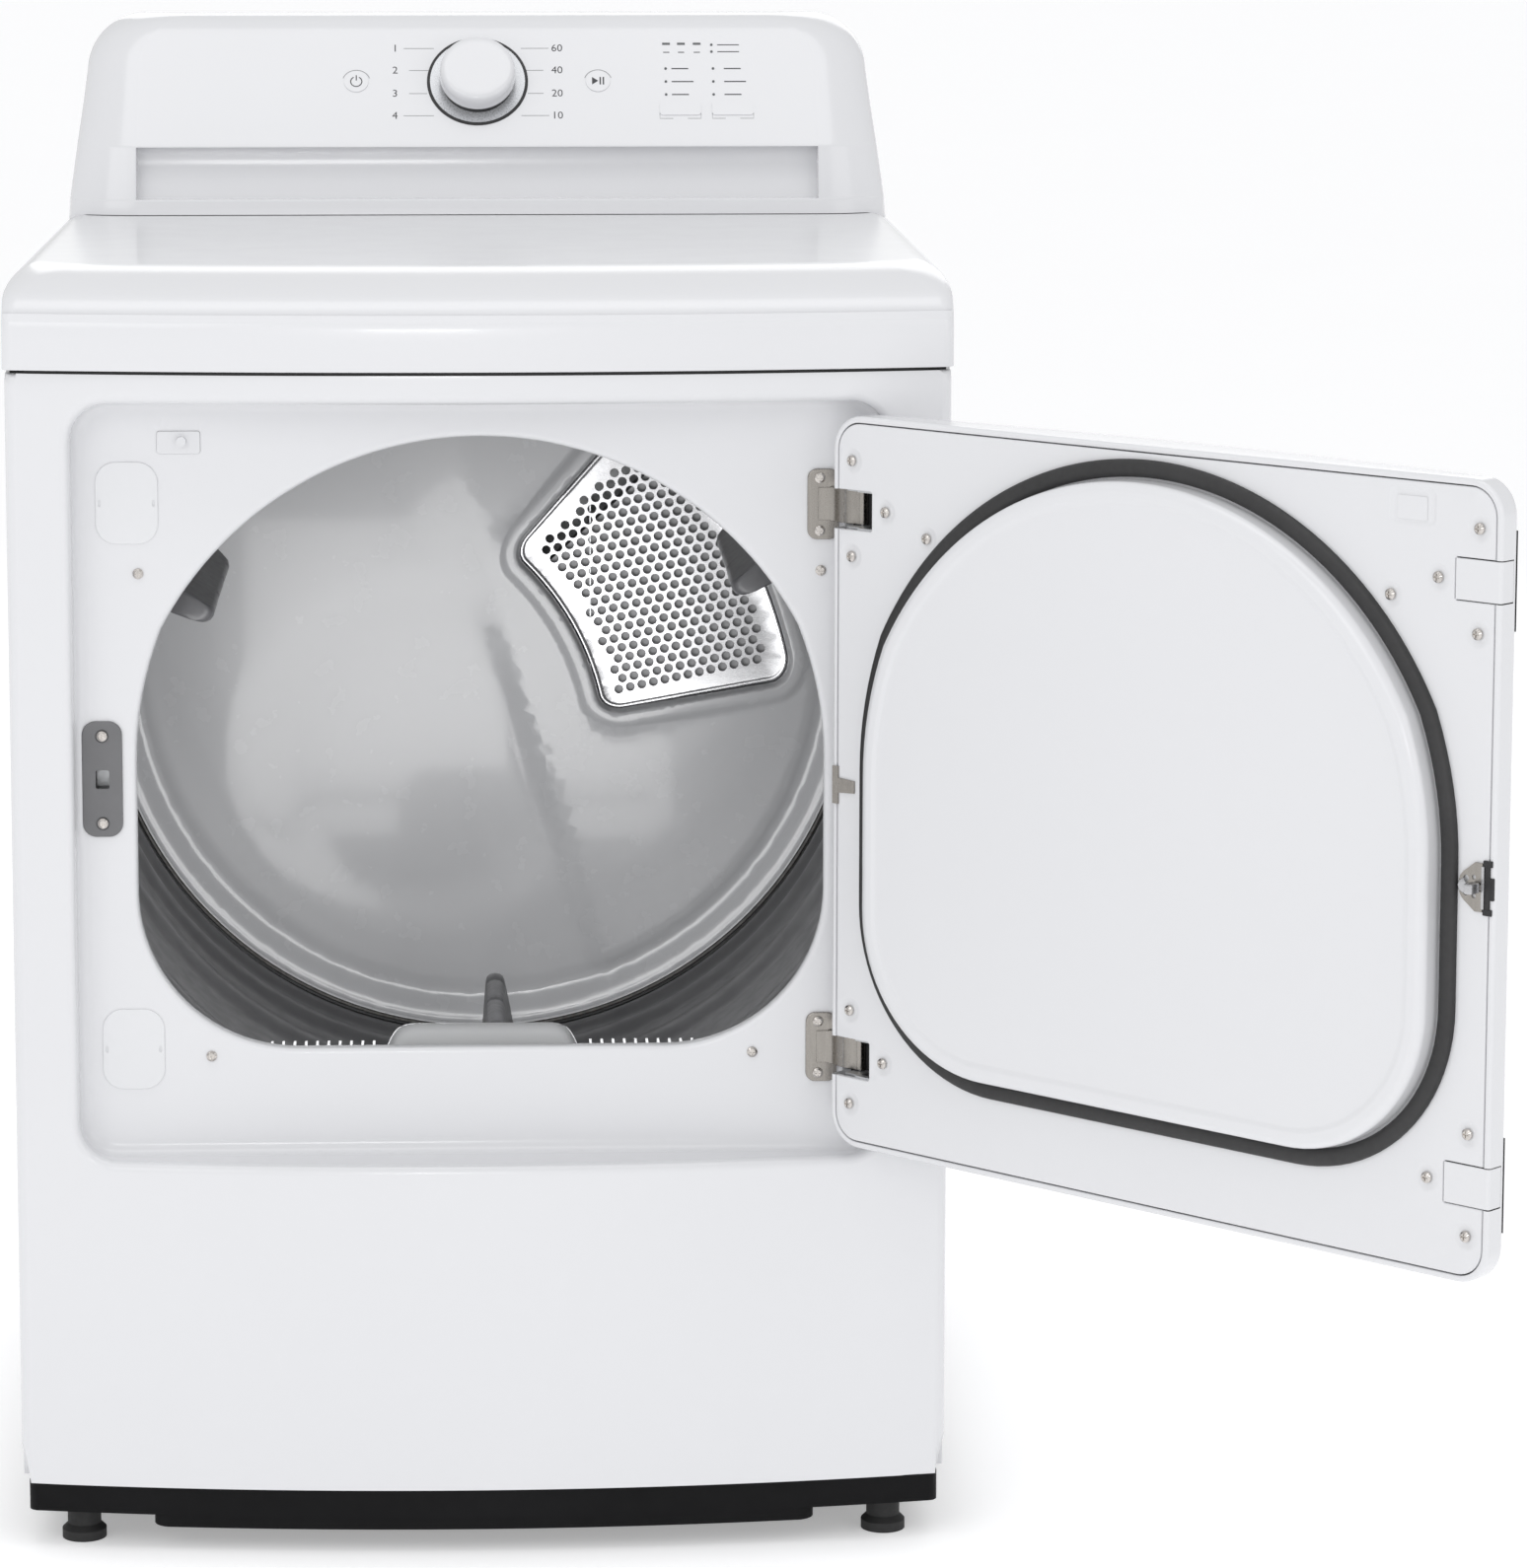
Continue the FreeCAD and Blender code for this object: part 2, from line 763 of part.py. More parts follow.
def make_motor():
    """Motor on its cradle, which also carries the idler arm's pivot."""
    x, z = cell("shaft_x"), cell("shaft_height")
    body = new_body("motor")
    pad(body, "XZ_Plane", -190, -42, circle(x, z, cell("motor_radius")))
    pad(body, "XZ_Plane", -178, -54, box(x - 46, x + 46, 30, z - 20))
    pad(body, "XZ_Plane", -55, -30, box(x - 46, x + 10, 30, 80))
    pocket(body, "XZ_Plane", -191, -41, circle(x, z, cell("shaft_radius") + 0.05))
    pocket(body, "XZ_Plane", -50, -29, circle(cell("idler_pivot_x"), cell("idler_pivot_height"), 4.05))
    return body


def make_motor_shaft():
    """Through shaft with the small belt pulley on its rear end."""
    radius = cell("shaft_radius")
    groove = cell("pulley_radius")
    middle = cell("belt_place")
    body = new_body("motor_shaft", at(cell("shaft_x"), 0, cell("shaft_height")))
    revolve(body, [
        (-240, 0), (-240, radius), (middle - 9, radius), (middle - 9, groove + 3),
        (middle - 6, groove + 3), (middle - 6, groove), (middle + 6, groove), (middle + 6, groove + 3),
        (middle + 9, groove + 3), (middle + 9, 0),
    ])
    return body


def make_blower_wheel():
    """Back plate, hub and ring of forward blades."""
    outer = cell("wheel_radius")
    radius = cell("shaft_radius")
    front, back = -264, -214
    body = new_body("blower_wheel", at(cell("shaft_x"), 0, cell("shaft_height")))
    revolve(body, [
        (back - 26, radius), (back - 26, radius + 5), (back - 2, radius + 5), (back - 2, outer),
        (back, outer), (back, radius),
    ])
    blade = pad(body, "XZ_Plane", front, back - 1.5, box(-0.8, 0.8, outer - 13, outer - 0.5))
    ring_of(body, blade, 30)
    pad(body, "XZ_Plane", front - 2, front + 0.5, circle(0, 0, outer), circle(0, 0, outer - 13))
    return body


# ---------------------------------------------------------------- drum and drive

def make_drum_shell():
    """Rolled drum: plain wall, a stepped front neck and a rear edge that wraps the bulkhead rim."""
    outer = cell("drum_radius")
    wall = cell("drum_wall")
    front, rear = cell("drum_front"), cell("drum_rear")
    neck = 306
    body = new_body("drum_shell", at(0, 0, DRUM_AXIS))
    revolve(body, [
        (front - 30, neck), (front - 30, neck + wall), (front, neck + wall), (front, outer),
        (rear, outer), (rear, outer - wall), (front + wall, outer - wall), (front + wall, neck),
    ])
    return body


def make_drum_lifters():
    """Three tall narrow vanes riveted to the drum wall, one near the bottom; their rear ends slope down."""
    inner = cell("drum_radius") - cell("drum_wall") - 0.1
    front = cell("drum_front") + 3
    crest_end, rear = 35, 130
    crest = cell("lifter_crest")
    root_half, crest_half = 17, 7.5
    foot = -inner + 1
    solids = []
    body = new_body("lifter_form")
    pad(body, "XZ_Plane", front, rear,
        [(-root_half, foot), (root_half, foot), (crest_half, -crest), (-crest_half, -crest)])
    middle_rear = (crest_end + 0.55 * (rear - crest_end), -crest - 38)
    pocket(body, "YZ_Plane", -root_half - 1, root_half + 1,
           [(crest_end, -crest + 1), (crest_end, -crest), middle_rear, (rear, foot), (rear + 1, foot),
            (rear + 1, -crest + 1)])
    doc.recompute()
    trim = Part.makeCylinder(inner.number, 900, Vector(0, -450, 0), Vector(0, 1, 0))
    form = body.Shape.common(trim)
    for turn in range(3):
        vane = form.copy()
        vane.rotate(Vector(0, 0, 0), Vector(0, 1, 0), 120 * turn - DIMENSIONS["drum_turn"])
        vane.translate(Vector(0, 0, DRUM_AXIS.number))
        solids.append(vane)
    return group("drum_lifters", [vane.Solids[0] for vane in solids])


def make_felt(label, front, back, inner, outer):
    body = new_body(label, at(0, 0, DRUM_AXIS))
    revolve(body, [(front, inner), (front, outer), (back, outer), (back, inner)])
    return body


def roller_places():
    """Name, x, z and front face of each of the four drum rollers."""
    spread = math.radians(DIMENSIONS["roller_angle"])
    reach = DIMENSIONS["drum_radius"] + DIMENSIONS["roller_radius"] + 0.3
    x = reach * math.sin(spread)
    z = DIMENSIONS["drum_axis"] - reach * math.cos(spread)
    return [
        ("drum_roller_front_left", -x, z, DIMENSIONS["drum_front"] + 4.0),
        ("drum_roller_front_right", x, z, DIMENSIONS["drum_front"] + 4.0),
        ("drum_roller_rear_left", -x, z, 206.0),
        ("drum_roller_rear_right", x, z, 206.0),
    ]


def make_roller(label, x, z, front):
    """Roller with a wide tread and a hub on a fixed axle."""
    radius = cell("roller_radius")
    width = cell("roller_width")
    body = new_body(label, at(x, front, z))
    revolve(body, [
        (-2, 6.05), (-2, 12), (4, 12), (4, radius - 8), (0, radius - 8), (0, radius - 1), (1, radius),
        (width - 1, radius), (width, radius - 1), (width, radius - 8), (width - 4, radius - 8),
        (width - 4, 12), (width + 2, 12), (width + 2, 6.05),
    ])
    return body


def make_roller_axles():
    solids = []
    for _, x, z, front in roller_places():
        if front < 0:
            start, length = -316.4, front + 28 + 316.4
        else:
            start, length = front - 8, DIMENSIONS["rear_wall"] - 0.2 - (front - 8)
        solids.append(Part.makeCylinder(6.0, length, Vector(x, start, z), Vector(0, 1, 0)))
    return group("roller_axles", solids)


def tangent(first, second):
    """Touching points of a belt run between two wheels (x, z, radius); negative radius turns clockwise."""
    gap = math.hypot(second[0] - first[0], second[1] - first[1])
    base = math.atan2(second[1] - first[1], second[0] - first[0])
    heading = base + math.asin((first[2] - second[2]) / gap)
    left = Vector(-math.sin(heading), 0, math.cos(heading))
    return [Vector(x, 0, z) - left * radius for x, z, radius in (first, second)]


def belt_wire(wheels):
    """Closed loop around the wheels: straight runs joined by arcs."""
    runs = [tangent(wheels[step], wheels[(step + 1) % len(wheels)]) for step in range(len(wheels))]
    edges = []
    for step, run in enumerate(runs):
        edges.append(Part.LineSegment(*run).toShape())
        x, z, radius = wheels[(step + 1) % len(wheels)]
        centre = Vector(x, 0, z)
        start, stop = run[1], runs[(step + 1) % len(wheels)][0]
        first = math.atan2(start.z - z, start.x - x)
        last = math.atan2(stop.z - z, stop.x - x)
        if radius > 0 and last < first:
            last += 2 * math.pi
        if radius < 0 and last > first:
            last -= 2 * math.pi
        half = (first + last) / 2
        middle = centre + Vector(math.cos(half), 0, math.sin(half)) * abs(radius)
        edges.append(Part.Arc(start, middle, stop).toShape())
    return Part.Wire(edges)


def make_drive_belt():
    """Ribbed belt around the drum and the motor pulley, pressed in by the idler."""
    thick = 3.0
    gap = 0.4
    drum = (0.0, DIMENSIONS["drum_axis"], DIMENSIONS["drum_radius"] + gap)
    pulley = (DIMENSIONS["shaft_x"], DIMENSIONS["shaft_height"], DIMENSIONS["pulley_radius"] + gap)
    idler = (DIMENSIONS["idler_x"], DIMENSIONS["idler_height"], -(DIMENSIONS["idler_radius"] + gap))
    inner = belt_wire([drum, (idler[0], idler[1], idler[2] - thick), pulley])
    outside = [(x, z, radius + thick) for x, z, radius in (drum, pulley)]
    outer = belt_wire([outside[0], idler, outside[1]])
    width = DIMENSIONS["belt_width"]
    solid = Part.Face(outer).extrude(Vector(0, width, 0)).cut(Part.Face(inner).extrude(Vector(0, width, 0)))
    solid.translate(Vector(0, DIMENSIONS["belt_place"] - width / 2, 0))
    feature = doc.addObject("Part::Feature", "drive_belt")
    feature.Shape = solid.Solids[0]
    return feature


def make_idler_arm():
    """Bent lever with its pivot pin at the foot and the pulley's axle at the head."""
    foot = (cell("idler_pivot_x"), cell("idler_pivot_height"))
    head = (cell("idler_x"), cell("idler_height"))
    lean = math.atan2(head[0].number - foot[0].number, head[1].number - foot[1].number)
    wide = 9
    across = (wide * math.cos(lean), -wide * math.sin(lean))
    body = new_body("idler_arm")
    level = cell("belt_place") + 9
    pad(body, "XZ_Plane", level, level + 3, [
        (foot[0] - across[0], foot[1] - across[1]), (foot[0] + across[0], foot[1] + across[1]),
        (head[0] + across[0], head[1] + across[1]), (head[0] - across[0], head[1] - across[1]),
    ])
    pad(body, "XZ_Plane", level, level + 3, circle(*foot, wide))
    pad(body, "XZ_Plane", level, level + 3, circle(*head, wide))
    pad(body, "XZ_Plane", -46, level + 0.5, circle(*foot, 4))
    pad(body, "XZ_Plane", cell("belt_place") - 8, level + 0.5, circle(*head, 5))
    return body


def make_idler_pulley():
    radius = cell("idler_radius")
    middle = cell("belt_place")
    body = new_body("idler_pulley", at(cell("idler_x"), 0, cell("idler_height")))
    revolve(body, [
        (middle - 7, 5.05), (middle - 7, radius + 3), (middle - 5.5, radius + 3), (middle - 5.5, radius),
        (middle + 5.5, radius), (middle + 5.5, radius + 3), (middle + 7, radius + 3), (middle + 7, 5.05),
    ])
    return body


# ---------------------------------------------------------------- console

# distances up the control face from its centre: lower edge, top of the scooped band, upper edge
CHIN = -61.0
BAND_BROW = -38.0
BROW = 47.0
CROWN_ROLL = 30.0


def face_place(across, up):
    """Frame on the control face: local +Y leaves the face, local +Z runs down it."""
    tilt = math.radians(DIMENSIONS["face_tilt"])
    y = DIMENSIONS["face_centre_y"] + up * math.sin(tilt)
    z = DIMENSIONS["face_centre_z"] + up * math.cos(tilt)
    return at(across, y, z, Vector(1, 0, 0), 180.0 - DIMENSIONS["face_tilt"])


def on_face(up, inset):
    """Side-view point at a distance up the control face, sunk below it by an inset."""
    tilt = math.radians(DIMENSIONS["face_tilt"])
    y = cell("face_centre_y") + up * math.sin(tilt) + inset * math.cos(tilt)
    z = cell("face_centre_z") + up * math.cos(tilt) - inset * math.sin(tilt)
    return y, z


def console_profile(inset):
    """Side profile of the console: low front, tilted face, rounded crown, flat back."""
    chin = on_face(CHIN, inset)
    brow = on_face(BROW, inset)
    top = cell("console_height") - inset
    foot = cell("cover_height") + 1.5
    if inset:
        low = foot - 1.0
        behind_band = cell("console_front") + 31.0
        front = [(behind_band, low), (behind_band, chin[1] - 1.0), on_face(BAND_BROW, inset)]
        back = BACK - 3
    else:
        low = foot
        front = [(cell("console_front"), low), chin]
        back = BACK - 4
    return front + [
        (*brow, -CROWN_ROLL),
        (brow[0] + 23.0, top),
        (BACK - 14 - inset, top, -10.0),
        (BACK - 4, top - 10 + inset),
        (back, low),
    ]


def console_outline(inset):
    """Front outline of the console: sides lean in towards two round shoulders."""
    foot = cell("cover_height") + 1.5 - (1.0 if inset else 0.0)
    top = cell("console_height") - inset
    base = cell("console_half_width") - inset
    shoulder = 45.0 - inset
    waist = base - 9
    crest = base - 14
    return [
        (-base, foot), (base, foot), (waist, foot + 58), (crest, top - shoulder, shoulder),
        (crest - shoulder, top), (-crest + shoulder, top, shoulder), (-crest, top - shoulder),
        (-waist, foot + 58),
    ]


def console_block(label, inset):
    reach = cell("console_half_width") + 4
    profile = prism(f"{label}_profile", "YZ_Plane", -reach, reach, console_profile(inset))
    outline = prism(f"{label}_outline", "XZ_Plane", 150, 380, console_outline(inset))
    return common(label, profile, outline)


def make_console_shell():
    """Plastic console: hollow, with a scooped band under the face and holes for the controls."""
    outer = console_block("console_outside", 0)
    inner = console_block("console_inside", 2.5)
    shell = cut("console_hollow", outer, inner)
    band_half = 280
    band = prism("console_band", "YZ_Plane", -band_half, band_half, [
        (170, 964), (208, 964), (215, 976), (213, 1006),
        (170, 1006),
    ])
    scooped = cut("console_scooped", shell, band)
    dial = prism("console_dial_hole", "XZ_Plane", -8, 20, circle(0, 0, 39.4))
    dial.Placement = face_place(0, 0)
    drilled = cut("console_drilled", scooped, dial)
    keys = new_body("console_key_holes", face_place(0, 0))
    pad(keys, "XZ_Plane", -8, 20, *[key_outline(spot, 0.4) for spot in KEYS])
    return cut("console_shell", drilled, keys)


KEYS = [
    ("button_power", -100.0, 0.0, "round"),
    ("button_start", 99.5, 0.0, "round"),
    ("button_temperature", 167.2, -26.0, "long"),
    ("button_dry_level", 210.5, -26.0, "long"),
]


def key_outline(key, grow, centred=False):
    """Outline of a push key on the control face, grown by an amount."""
    _, across, up, kind = key
    x = 0 if centred else across
    z = 0 if centred else -up
    if kind == "round":
        return circle(x, z, cell("button_radius") + grow)
    wide, tall = 17.0 + grow, 6.5 + grow
    return rounded_box(x - wide, x + wide, z - tall, z + tall, 3 + grow)


def make_key(key):
    label, across, up, _ = key
    body = new_body(label, face_place(across, up))
    pad(body, "XZ_Plane", -4.2, 0.8, key_outline(key, 0.0, centred=True))
    return body


def make_knob_ring():
    """Fixed dial surround: thin raised rim and a dished plate."""
    rim = cell("bezel_radius")
    body = new_body("knob_ring", face_place(0, 0))
    revolve(body, [
        (-6, 6), (-6, 39), (0.1, 39), (0.1, rim), (1.0, rim), (1.2, rim - 1), (1.2, rim - 2), (0.2, rim - 3),
        (-3.6, 30), (-3.6, 6),
    ])
    return body


def make_knob():
    """Program knob: wide flat cap, narrow skirt and a shaft into the encoder."""
    radius = cell("knob_radius")
    proud = cell("knob_proud")
    body = new_body("knob", face_place(0, 0))
    revolve(body, [
        (-17, 0), (-17, 3), (-2.6, 3), (-2.6, radius - 5), (4, radius - 5), (4, radius - 1), (6, radius),
        (proud - 3, radius), (proud - 1, radius - 1), (proud, radius - 4), (proud, 0),
    ])
    return body


def make_control_board():
    """Circuit board behind the face, with the encoder and one switch under each key."""
    body = new_body("control_board", face_place(0, 0))
    pad(body, "XZ_Plane", -22, -20.4, box(-236, 236, -30, 36))
    pad(body, "XZ_Plane", -20.6, -9, box(-9, 9, -9, 9))
    pocket(body, "XZ_Plane", -18, -8, circle(0, 0, 3.05))
    switch = 4.0
    for _, across, up, _ in KEYS:
        pad(body, "XZ_Plane", -20.6, -6, box(across - switch, across + switch, -up - switch, -up + switch))
    return body


def make_console_back():
    top = cell("console_height") - 4
    half = cell("console_half_width") - 18
    foot = cell("cover_height") + 2
    back = BACK - 3.6
    return prism("console_back", "XZ_Plane", back, back + 1.0,
                 [(-half, foot), (half, foot), (half, top - 40), (half - 38, top),
                  (-half + 38, top), (-half, top - 40)])


def make_indicator_lenses():
    """Small lamps on the face: three bars, two dots and two columns of three dots."""
    solids = []
    for across in (156.5, 168.8, 181.9):
        bar = Part.makeBox(6.4, 0.4, 1.8, Vector(-3.2, 0.02, -0.9))
        bar.Placement = face_place(across, 35.6)
        solids.append(bar)
    dots = [(194.1, 34.6), (194.1, 28.0)]
    dots += [(across, up) for across in (155.7, 195.0) for up in (11.9, -0.5, -12.8)]
    for across, up in dots:
        lens = Part.makeCylinder(1.1, 0.4, Vector(0, 0.02, 0), Vector(0, 1, 0))
        lens.Placement = face_place(across, up)
        solids.append(lens)
    return group("indicator_lenses", solids)


# ---------------------------------------------------------------- fittings on the frame

HINGES = ("hinge_upper", "hinge_lower")
FRAME_SCREWS = [(-249.0, 727.9), (249.0, 727.9), (-199.5, 368.2), (199.5, 368.2)]
CATCH_SCREWS = [(-276.8, 608.4), (-276.8, 543.6)]
HINGE_SCREW_X = 248.0
HINGE_SCREW_REACH = 19.4


def hinge_screws():
    spots = []
    for alias in HINGES:
        for side in (-1, 1):
            spots.append((HINGE_SCREW_X, DIMENSIONS[alias] - 0.5 + side * HINGE_SCREW_REACH))
    return spots


def ribbon(points, thick):
    """Outline of a strip of even thickness along a bent line."""
    sides = ([], [])
    for step, (x, y) in enumerate(points):
        before = points[max(step - 1, 0)]
        after = points[min(step + 1, len(points) - 1)]
        run = Vector(after[0] - before[0], after[1] - before[1], 0).normalize()
        for which, sign in enumerate((1, -1)):
            sides[which].append((x - sign * run.y * thick / 2, y + sign * run.x * thick / 2))
    return sides[1] + sides[0][::-1]


def make_hinge_arms():
    """Two gooseneck arms: a plate screwed to the frame, a bent strip, and an eye for the pin."""
    floor = cell("recess_floor")
    half = cell("arm_height") / 2
    pin_x, pin_y = cell("hinge_x"), cell("hinge_y")
    form = new_body("hinge_arm_form")
    pad(form, "XZ_Plane", floor - 2.6, floor - 0.1,
        rounded_box(239, 262, -26.5, 25.5, 7))
    neck = [(253.0, -334.4), (258.5, -337.0), (261.5, -343.5), (266.3, -350.6), (271.8, -355.2),
            (277.9, -358.2)]
    pad(form, "XY_Plane", -half, half, ribbon(neck, 2.0))
    pad(form, "XY_Plane", -half, half, circle(pin_x, pin_y, cell("eye_radius")))
    pocket(form, "XY_Plane", -half - 1, half + 1, circle(pin_x, pin_y, cell("pin_radius") + 0.05))
    pocket(form, "XZ_Plane", floor - 3, floor, circle(HINGE_SCREW_X, -0.5 - HINGE_SCREW_REACH, 2.1),
           circle(HINGE_SCREW_X, -0.5 + HINGE_SCREW_REACH, 2.1))
    doc.recompute()
    return group("hinge_arms", raised(form))


def raised(form):
    """Copies of a solid at the two hinge heights."""
    solids = []
    for alias in HINGES:
        copy = form.Shape.Solids[0].copy()
        copy.translate(Vector(0, 0, DIMENSIONS[alias]))
        solids.append(copy)
    return solids


def make_hinge_pins():
    form = new_body("hinge_pin_form")
    pad(form, "XY_Plane", -17, 17, circle(cell("hinge_x"), cell("hinge_y"), cell("pin_radius")))
    doc.recompute()
    return group("hinge_pins", raised(form))


def make_door_hinge_brackets():
    """Brackets inside the door: a screwed plate with two lugs that hold the pin."""
    back = cell("door_back") - 2.7
    form = new_body("door_bracket_form")
    pad(form, "XZ_Plane", back - 1.8, back, rounded_box(232, 282, -42, 42, 6))
    lug, lugs = 2.8, (13.1, -15.9)
    for low in lugs:
        pad(form, "XY_Plane", low, low + lug, box(268, 281.5, -359.4, back))
    pocket(form, "XZ_Plane", back - 3, back + 1, box(252, 290, -15.5, 15.5))
    for low in lugs:
        pad(form, "XY_Plane", low, low + lug, box(246, 269, back - 6, back))
        pad(form, "XY_Plane", low, low + lug, box(246, 281.5, back - 6, back - 3))
    pocket(form, "XY_Plane", -20, 20, circle(cell("hinge_x"), cell("hinge_y"), cell("pin_radius") + 0.02))
    for x, z in ((272.5, 36.0), (272.5, -33.7), (240.5, 1.1)):
        pocket(form, "XZ_Plane", back - 3, back + 1, circle(x, z, 2.5))
    doc.recompute()
    return swing(group("door_hinge_brackets", raised(form)))


def make_frame_blank_covers():
    """Plastic blanks over the unused hinge places on the latch side."""
    floor = cell("recess_floor")
    form = new_body("frame_blank_form")
    pad(form, "XZ_Plane", floor - 1.2, floor - 0.1,
        rounded_box(-279.3, -233.9, -30, 30, 15))
    doc.recompute()
    solids = []
    for height in (779.8, 374.1):
        copy = form.Shape.Solids[0].copy()
        copy.translate(Vector(0, 0, height))
        solids.append(copy)
    return group("frame_blank_covers", solids)


def make_catch_plate():
    floor = cell("recess_floor")
    body = new_body("catch_plate")
    pad(body, "XZ_Plane", floor - 2.1, floor - 0.1,
        rounded_box(-291.5, -262.2, 533.5, 619.2, 10))
    pocket(body, "XZ_Plane", floor - 3, floor, box(-281.8, -271.8, 570, 582),
           *[circle(x, z, 2.1) for x, z in CATCH_SCREWS])
    return body


def make_door_catch():
    """Spring catch behind the plate, with the slot that takes the strike."""
    floor = cell("recess_floor")
    body = new_body("door_catch")
    pad(body, "XZ_Plane", floor + 1.7, floor + 13, rounded_box(-289, -264.6, 556, 596, 3))
    pocket(body, "XZ_Plane", floor + 1, floor + 14, box(-281.8, -271.8, 569, 583))
    return body


def make_screw(reach):
    """Pan-head screw along +Y, head towards -Y, with a cross recess."""
    body = new_body("screw_form")
    revolve(body, [(-2.2, 0), (-2.2, 2.4), (-1.2, 3.8), (0, 4), (0, 2), (reach, 2), (reach, 0)])
    pocket(body, "XZ_Plane", -2.4, -1.0, box(-2.2, 2.2, -0.5, 0.5))
    pocket(body, "XZ_Plane", -2.4, -1.0, box(-0.5, 0.5, -2.2, 2.2))
    doc.recompute()
    return body.Shape.Solids[0]


def placed(solid, x, y, z, flip=False):
    copy = solid.copy()
    if flip:
        copy.rotate(Vector(0, 0, 0), Vector(0, 0, 1), 180)
    copy.translate(Vector(x, y, z))
    return copy


REAR_SCREWS = [(x, z) for x in (-325.0, 325.0) for z in (120.0, 480.0, 840.0)]
REAR_SCREWS += [(-110.0, 860.0), (110.0, 860.0)]


def make_cabinet_screws():
    """Screws of the frame, the catch plate, the hinge plates and the rear panel."""
    floor = DIMENSIONS["recess_floor"]
    short = make_screw(7.0)
    solids = [placed(short, x, floor, z) for x, z in FRAME_SCREWS]
    solids += [placed(short, x, floor - 2.1, z) for x, z in CATCH_SCREWS]
    solids += [placed(short, x, floor - 2.6, z) for x, z in hinge_screws()]
    solids += [placed(short, x, DIMENSIONS["cab_depth"] / 2, z, flip=True) for x, z in REAR_SCREWS]
    return group("cabinet_screws", solids)


def make_door_switch_housing():
    floor = cell("recess_floor")
    body = new_body("door_switch_housing")
    pad(body, "XZ_Plane", floor - 0.8, floor + 13, rounded_box(-234.2, -202.8, 815.8, 832.2, 2))
    pocket(body, "XZ_Plane", floor - 2, floor + 11, circle(-216.4, 824.8, 3.65))
    return body


def make_door_switch_plunger():
    floor = cell("recess_floor")
    return prism("door_switch_plunger", "XZ_Plane", floor - 4.4, floor + 6, circle(-216.4, 824.8, 3.6))


def make_terminal_block():
    return prism("terminal_block", "XZ_Plane", 322, BACK - SHEET - 0.2,
                 box(-300, -224, 812, 842))


def make_terminal_cover():
    """Small steel cover over the supply terminals, outside the rear panel."""
    body = new_body("terminal_cover")
    back = BACK + 0.2
    pad(body, "XZ_Plane", back, back + 12, rounded_box(-312, -212, 798, 870, 6))
    pocket(body, "XZ_Plane", back - 1, back + 11, rounded_box(-311, -213, 799, 869, 5))
    return body


# ---------------------------------------------------------------- door, drawn shut and then swung open

def door_block(label, inset):
    """The door's bowed outer form: bowed plan crossed with a rounded front outline."""
    half = cell("door_half_width") - inset
    bow_at_edge = cell("door_half_width") * cell("door_half_width") / (2 * bow_radius(HALF, BOW))
    edge_y = FRONT - BOW + bow_at_edge - cell("door_proud") + inset
    back = cell("door_back") - (1.2 if inset else 0.0)
    low, high = cell("door_bottom") + inset, cell("door_top") - inset
    plan = [
        (-half, edge_y, bow_radius(half, bow_at_edge)),
        (half, edge_y),
        (half, back),
        (-half, back),
    ]
    bowed = prism(f"{label}_plan", "XY_Plane", low - 5, high + 5, plan)
    face = prism(f"{label}_face", "XZ_Plane", -420, -300,
                 rounded_box(-half, half, low, high, cell("door_corner") - inset))
    return common(label, bowed, face)


def swing(item):
    """Turns a door piece from shut to its open resting place."""
    pivot = Vector(DIMENSIONS["hinge_x"], DIMENSIONS["hinge_y"], 0)
    turn = Placement(Vector(0, 0, 0), Rotation(Vector(0, 0, 1), DIMENSIONS["door_angle"]), pivot)
    item.Placement = turn.multiply(item.Placement)
    return item


def hinge_notch(height):
    """Outline of the pocket in the door's hinge edge around one arm."""
    edge = cell("door_half_width")
    return box(edge - 37, edge + 2, height - 14.5, height + 14.5)


def hinge_notches(label):
    """Tool that opens the door's hinge edge and inner face around each arm."""
    tool = new_body(label)
    for alias in HINGES:
        height = cell(alias)
        pad(tool, "XZ_Plane", -356, cell("door_back") + 1,
            hinge_notch(height))
    return tool


def soften(label, block, radius):
    """Rounds the outer edge of a door form, all around its bowed face."""
    doc.recompute()
    rounded = doc.addObject("Part::Fillet", label)
    rounded.Base = block
    rounded.Edges = [
        (number, radius, radius) for number, edge in enumerate(block.Shape.Edges, start=1)
        if edge.CenterOfMass.y < -352 and edge.BoundBox.YMax < -345
    ]
    return rounded


def make_door_outer_panel():
    """Bowed steel skin with rounded edges, a hem on the inner side and two hinge notches."""
    skin = DIMENSIONS["door_skin"]
    outer = soften("door_softened", door_block("door_outside", 0), 7.0)
    inner = soften("door_softened_inside", door_block("door_inside", skin), 7.0 - skin)
    shell = cut("door_hollow", outer, inner)
    half = cell("door_half_width") - 7
    mouth = prism("door_mouth", "XZ_Plane", cell("door_back") - 3, cell("door_back") + 1,
                  rounded_box(-half + 0.3, half - 0.3, cell("door_bottom") + 6.7,
                              cell("door_top") - 6.7, 18.3))
    framed = cut("door_framed", shell, mouth)
    panel = cut("door_outer_panel", framed, hinge_notches("door_outer_notches"))
    return swing(panel)


DOOR_SCREWS = [(side * x, 576.0 + lift) for side in (-1, 1)
               for x, lift in ((272.5, 237.5), (240.5, 202.6), (272.5, 167.8),
                               (272.5, -237.5), (240.5, -202.6), (272.5, -167.8))]
DOOR_SCREWS += [(201.5, 763.0), (-202.5, 763.5)]


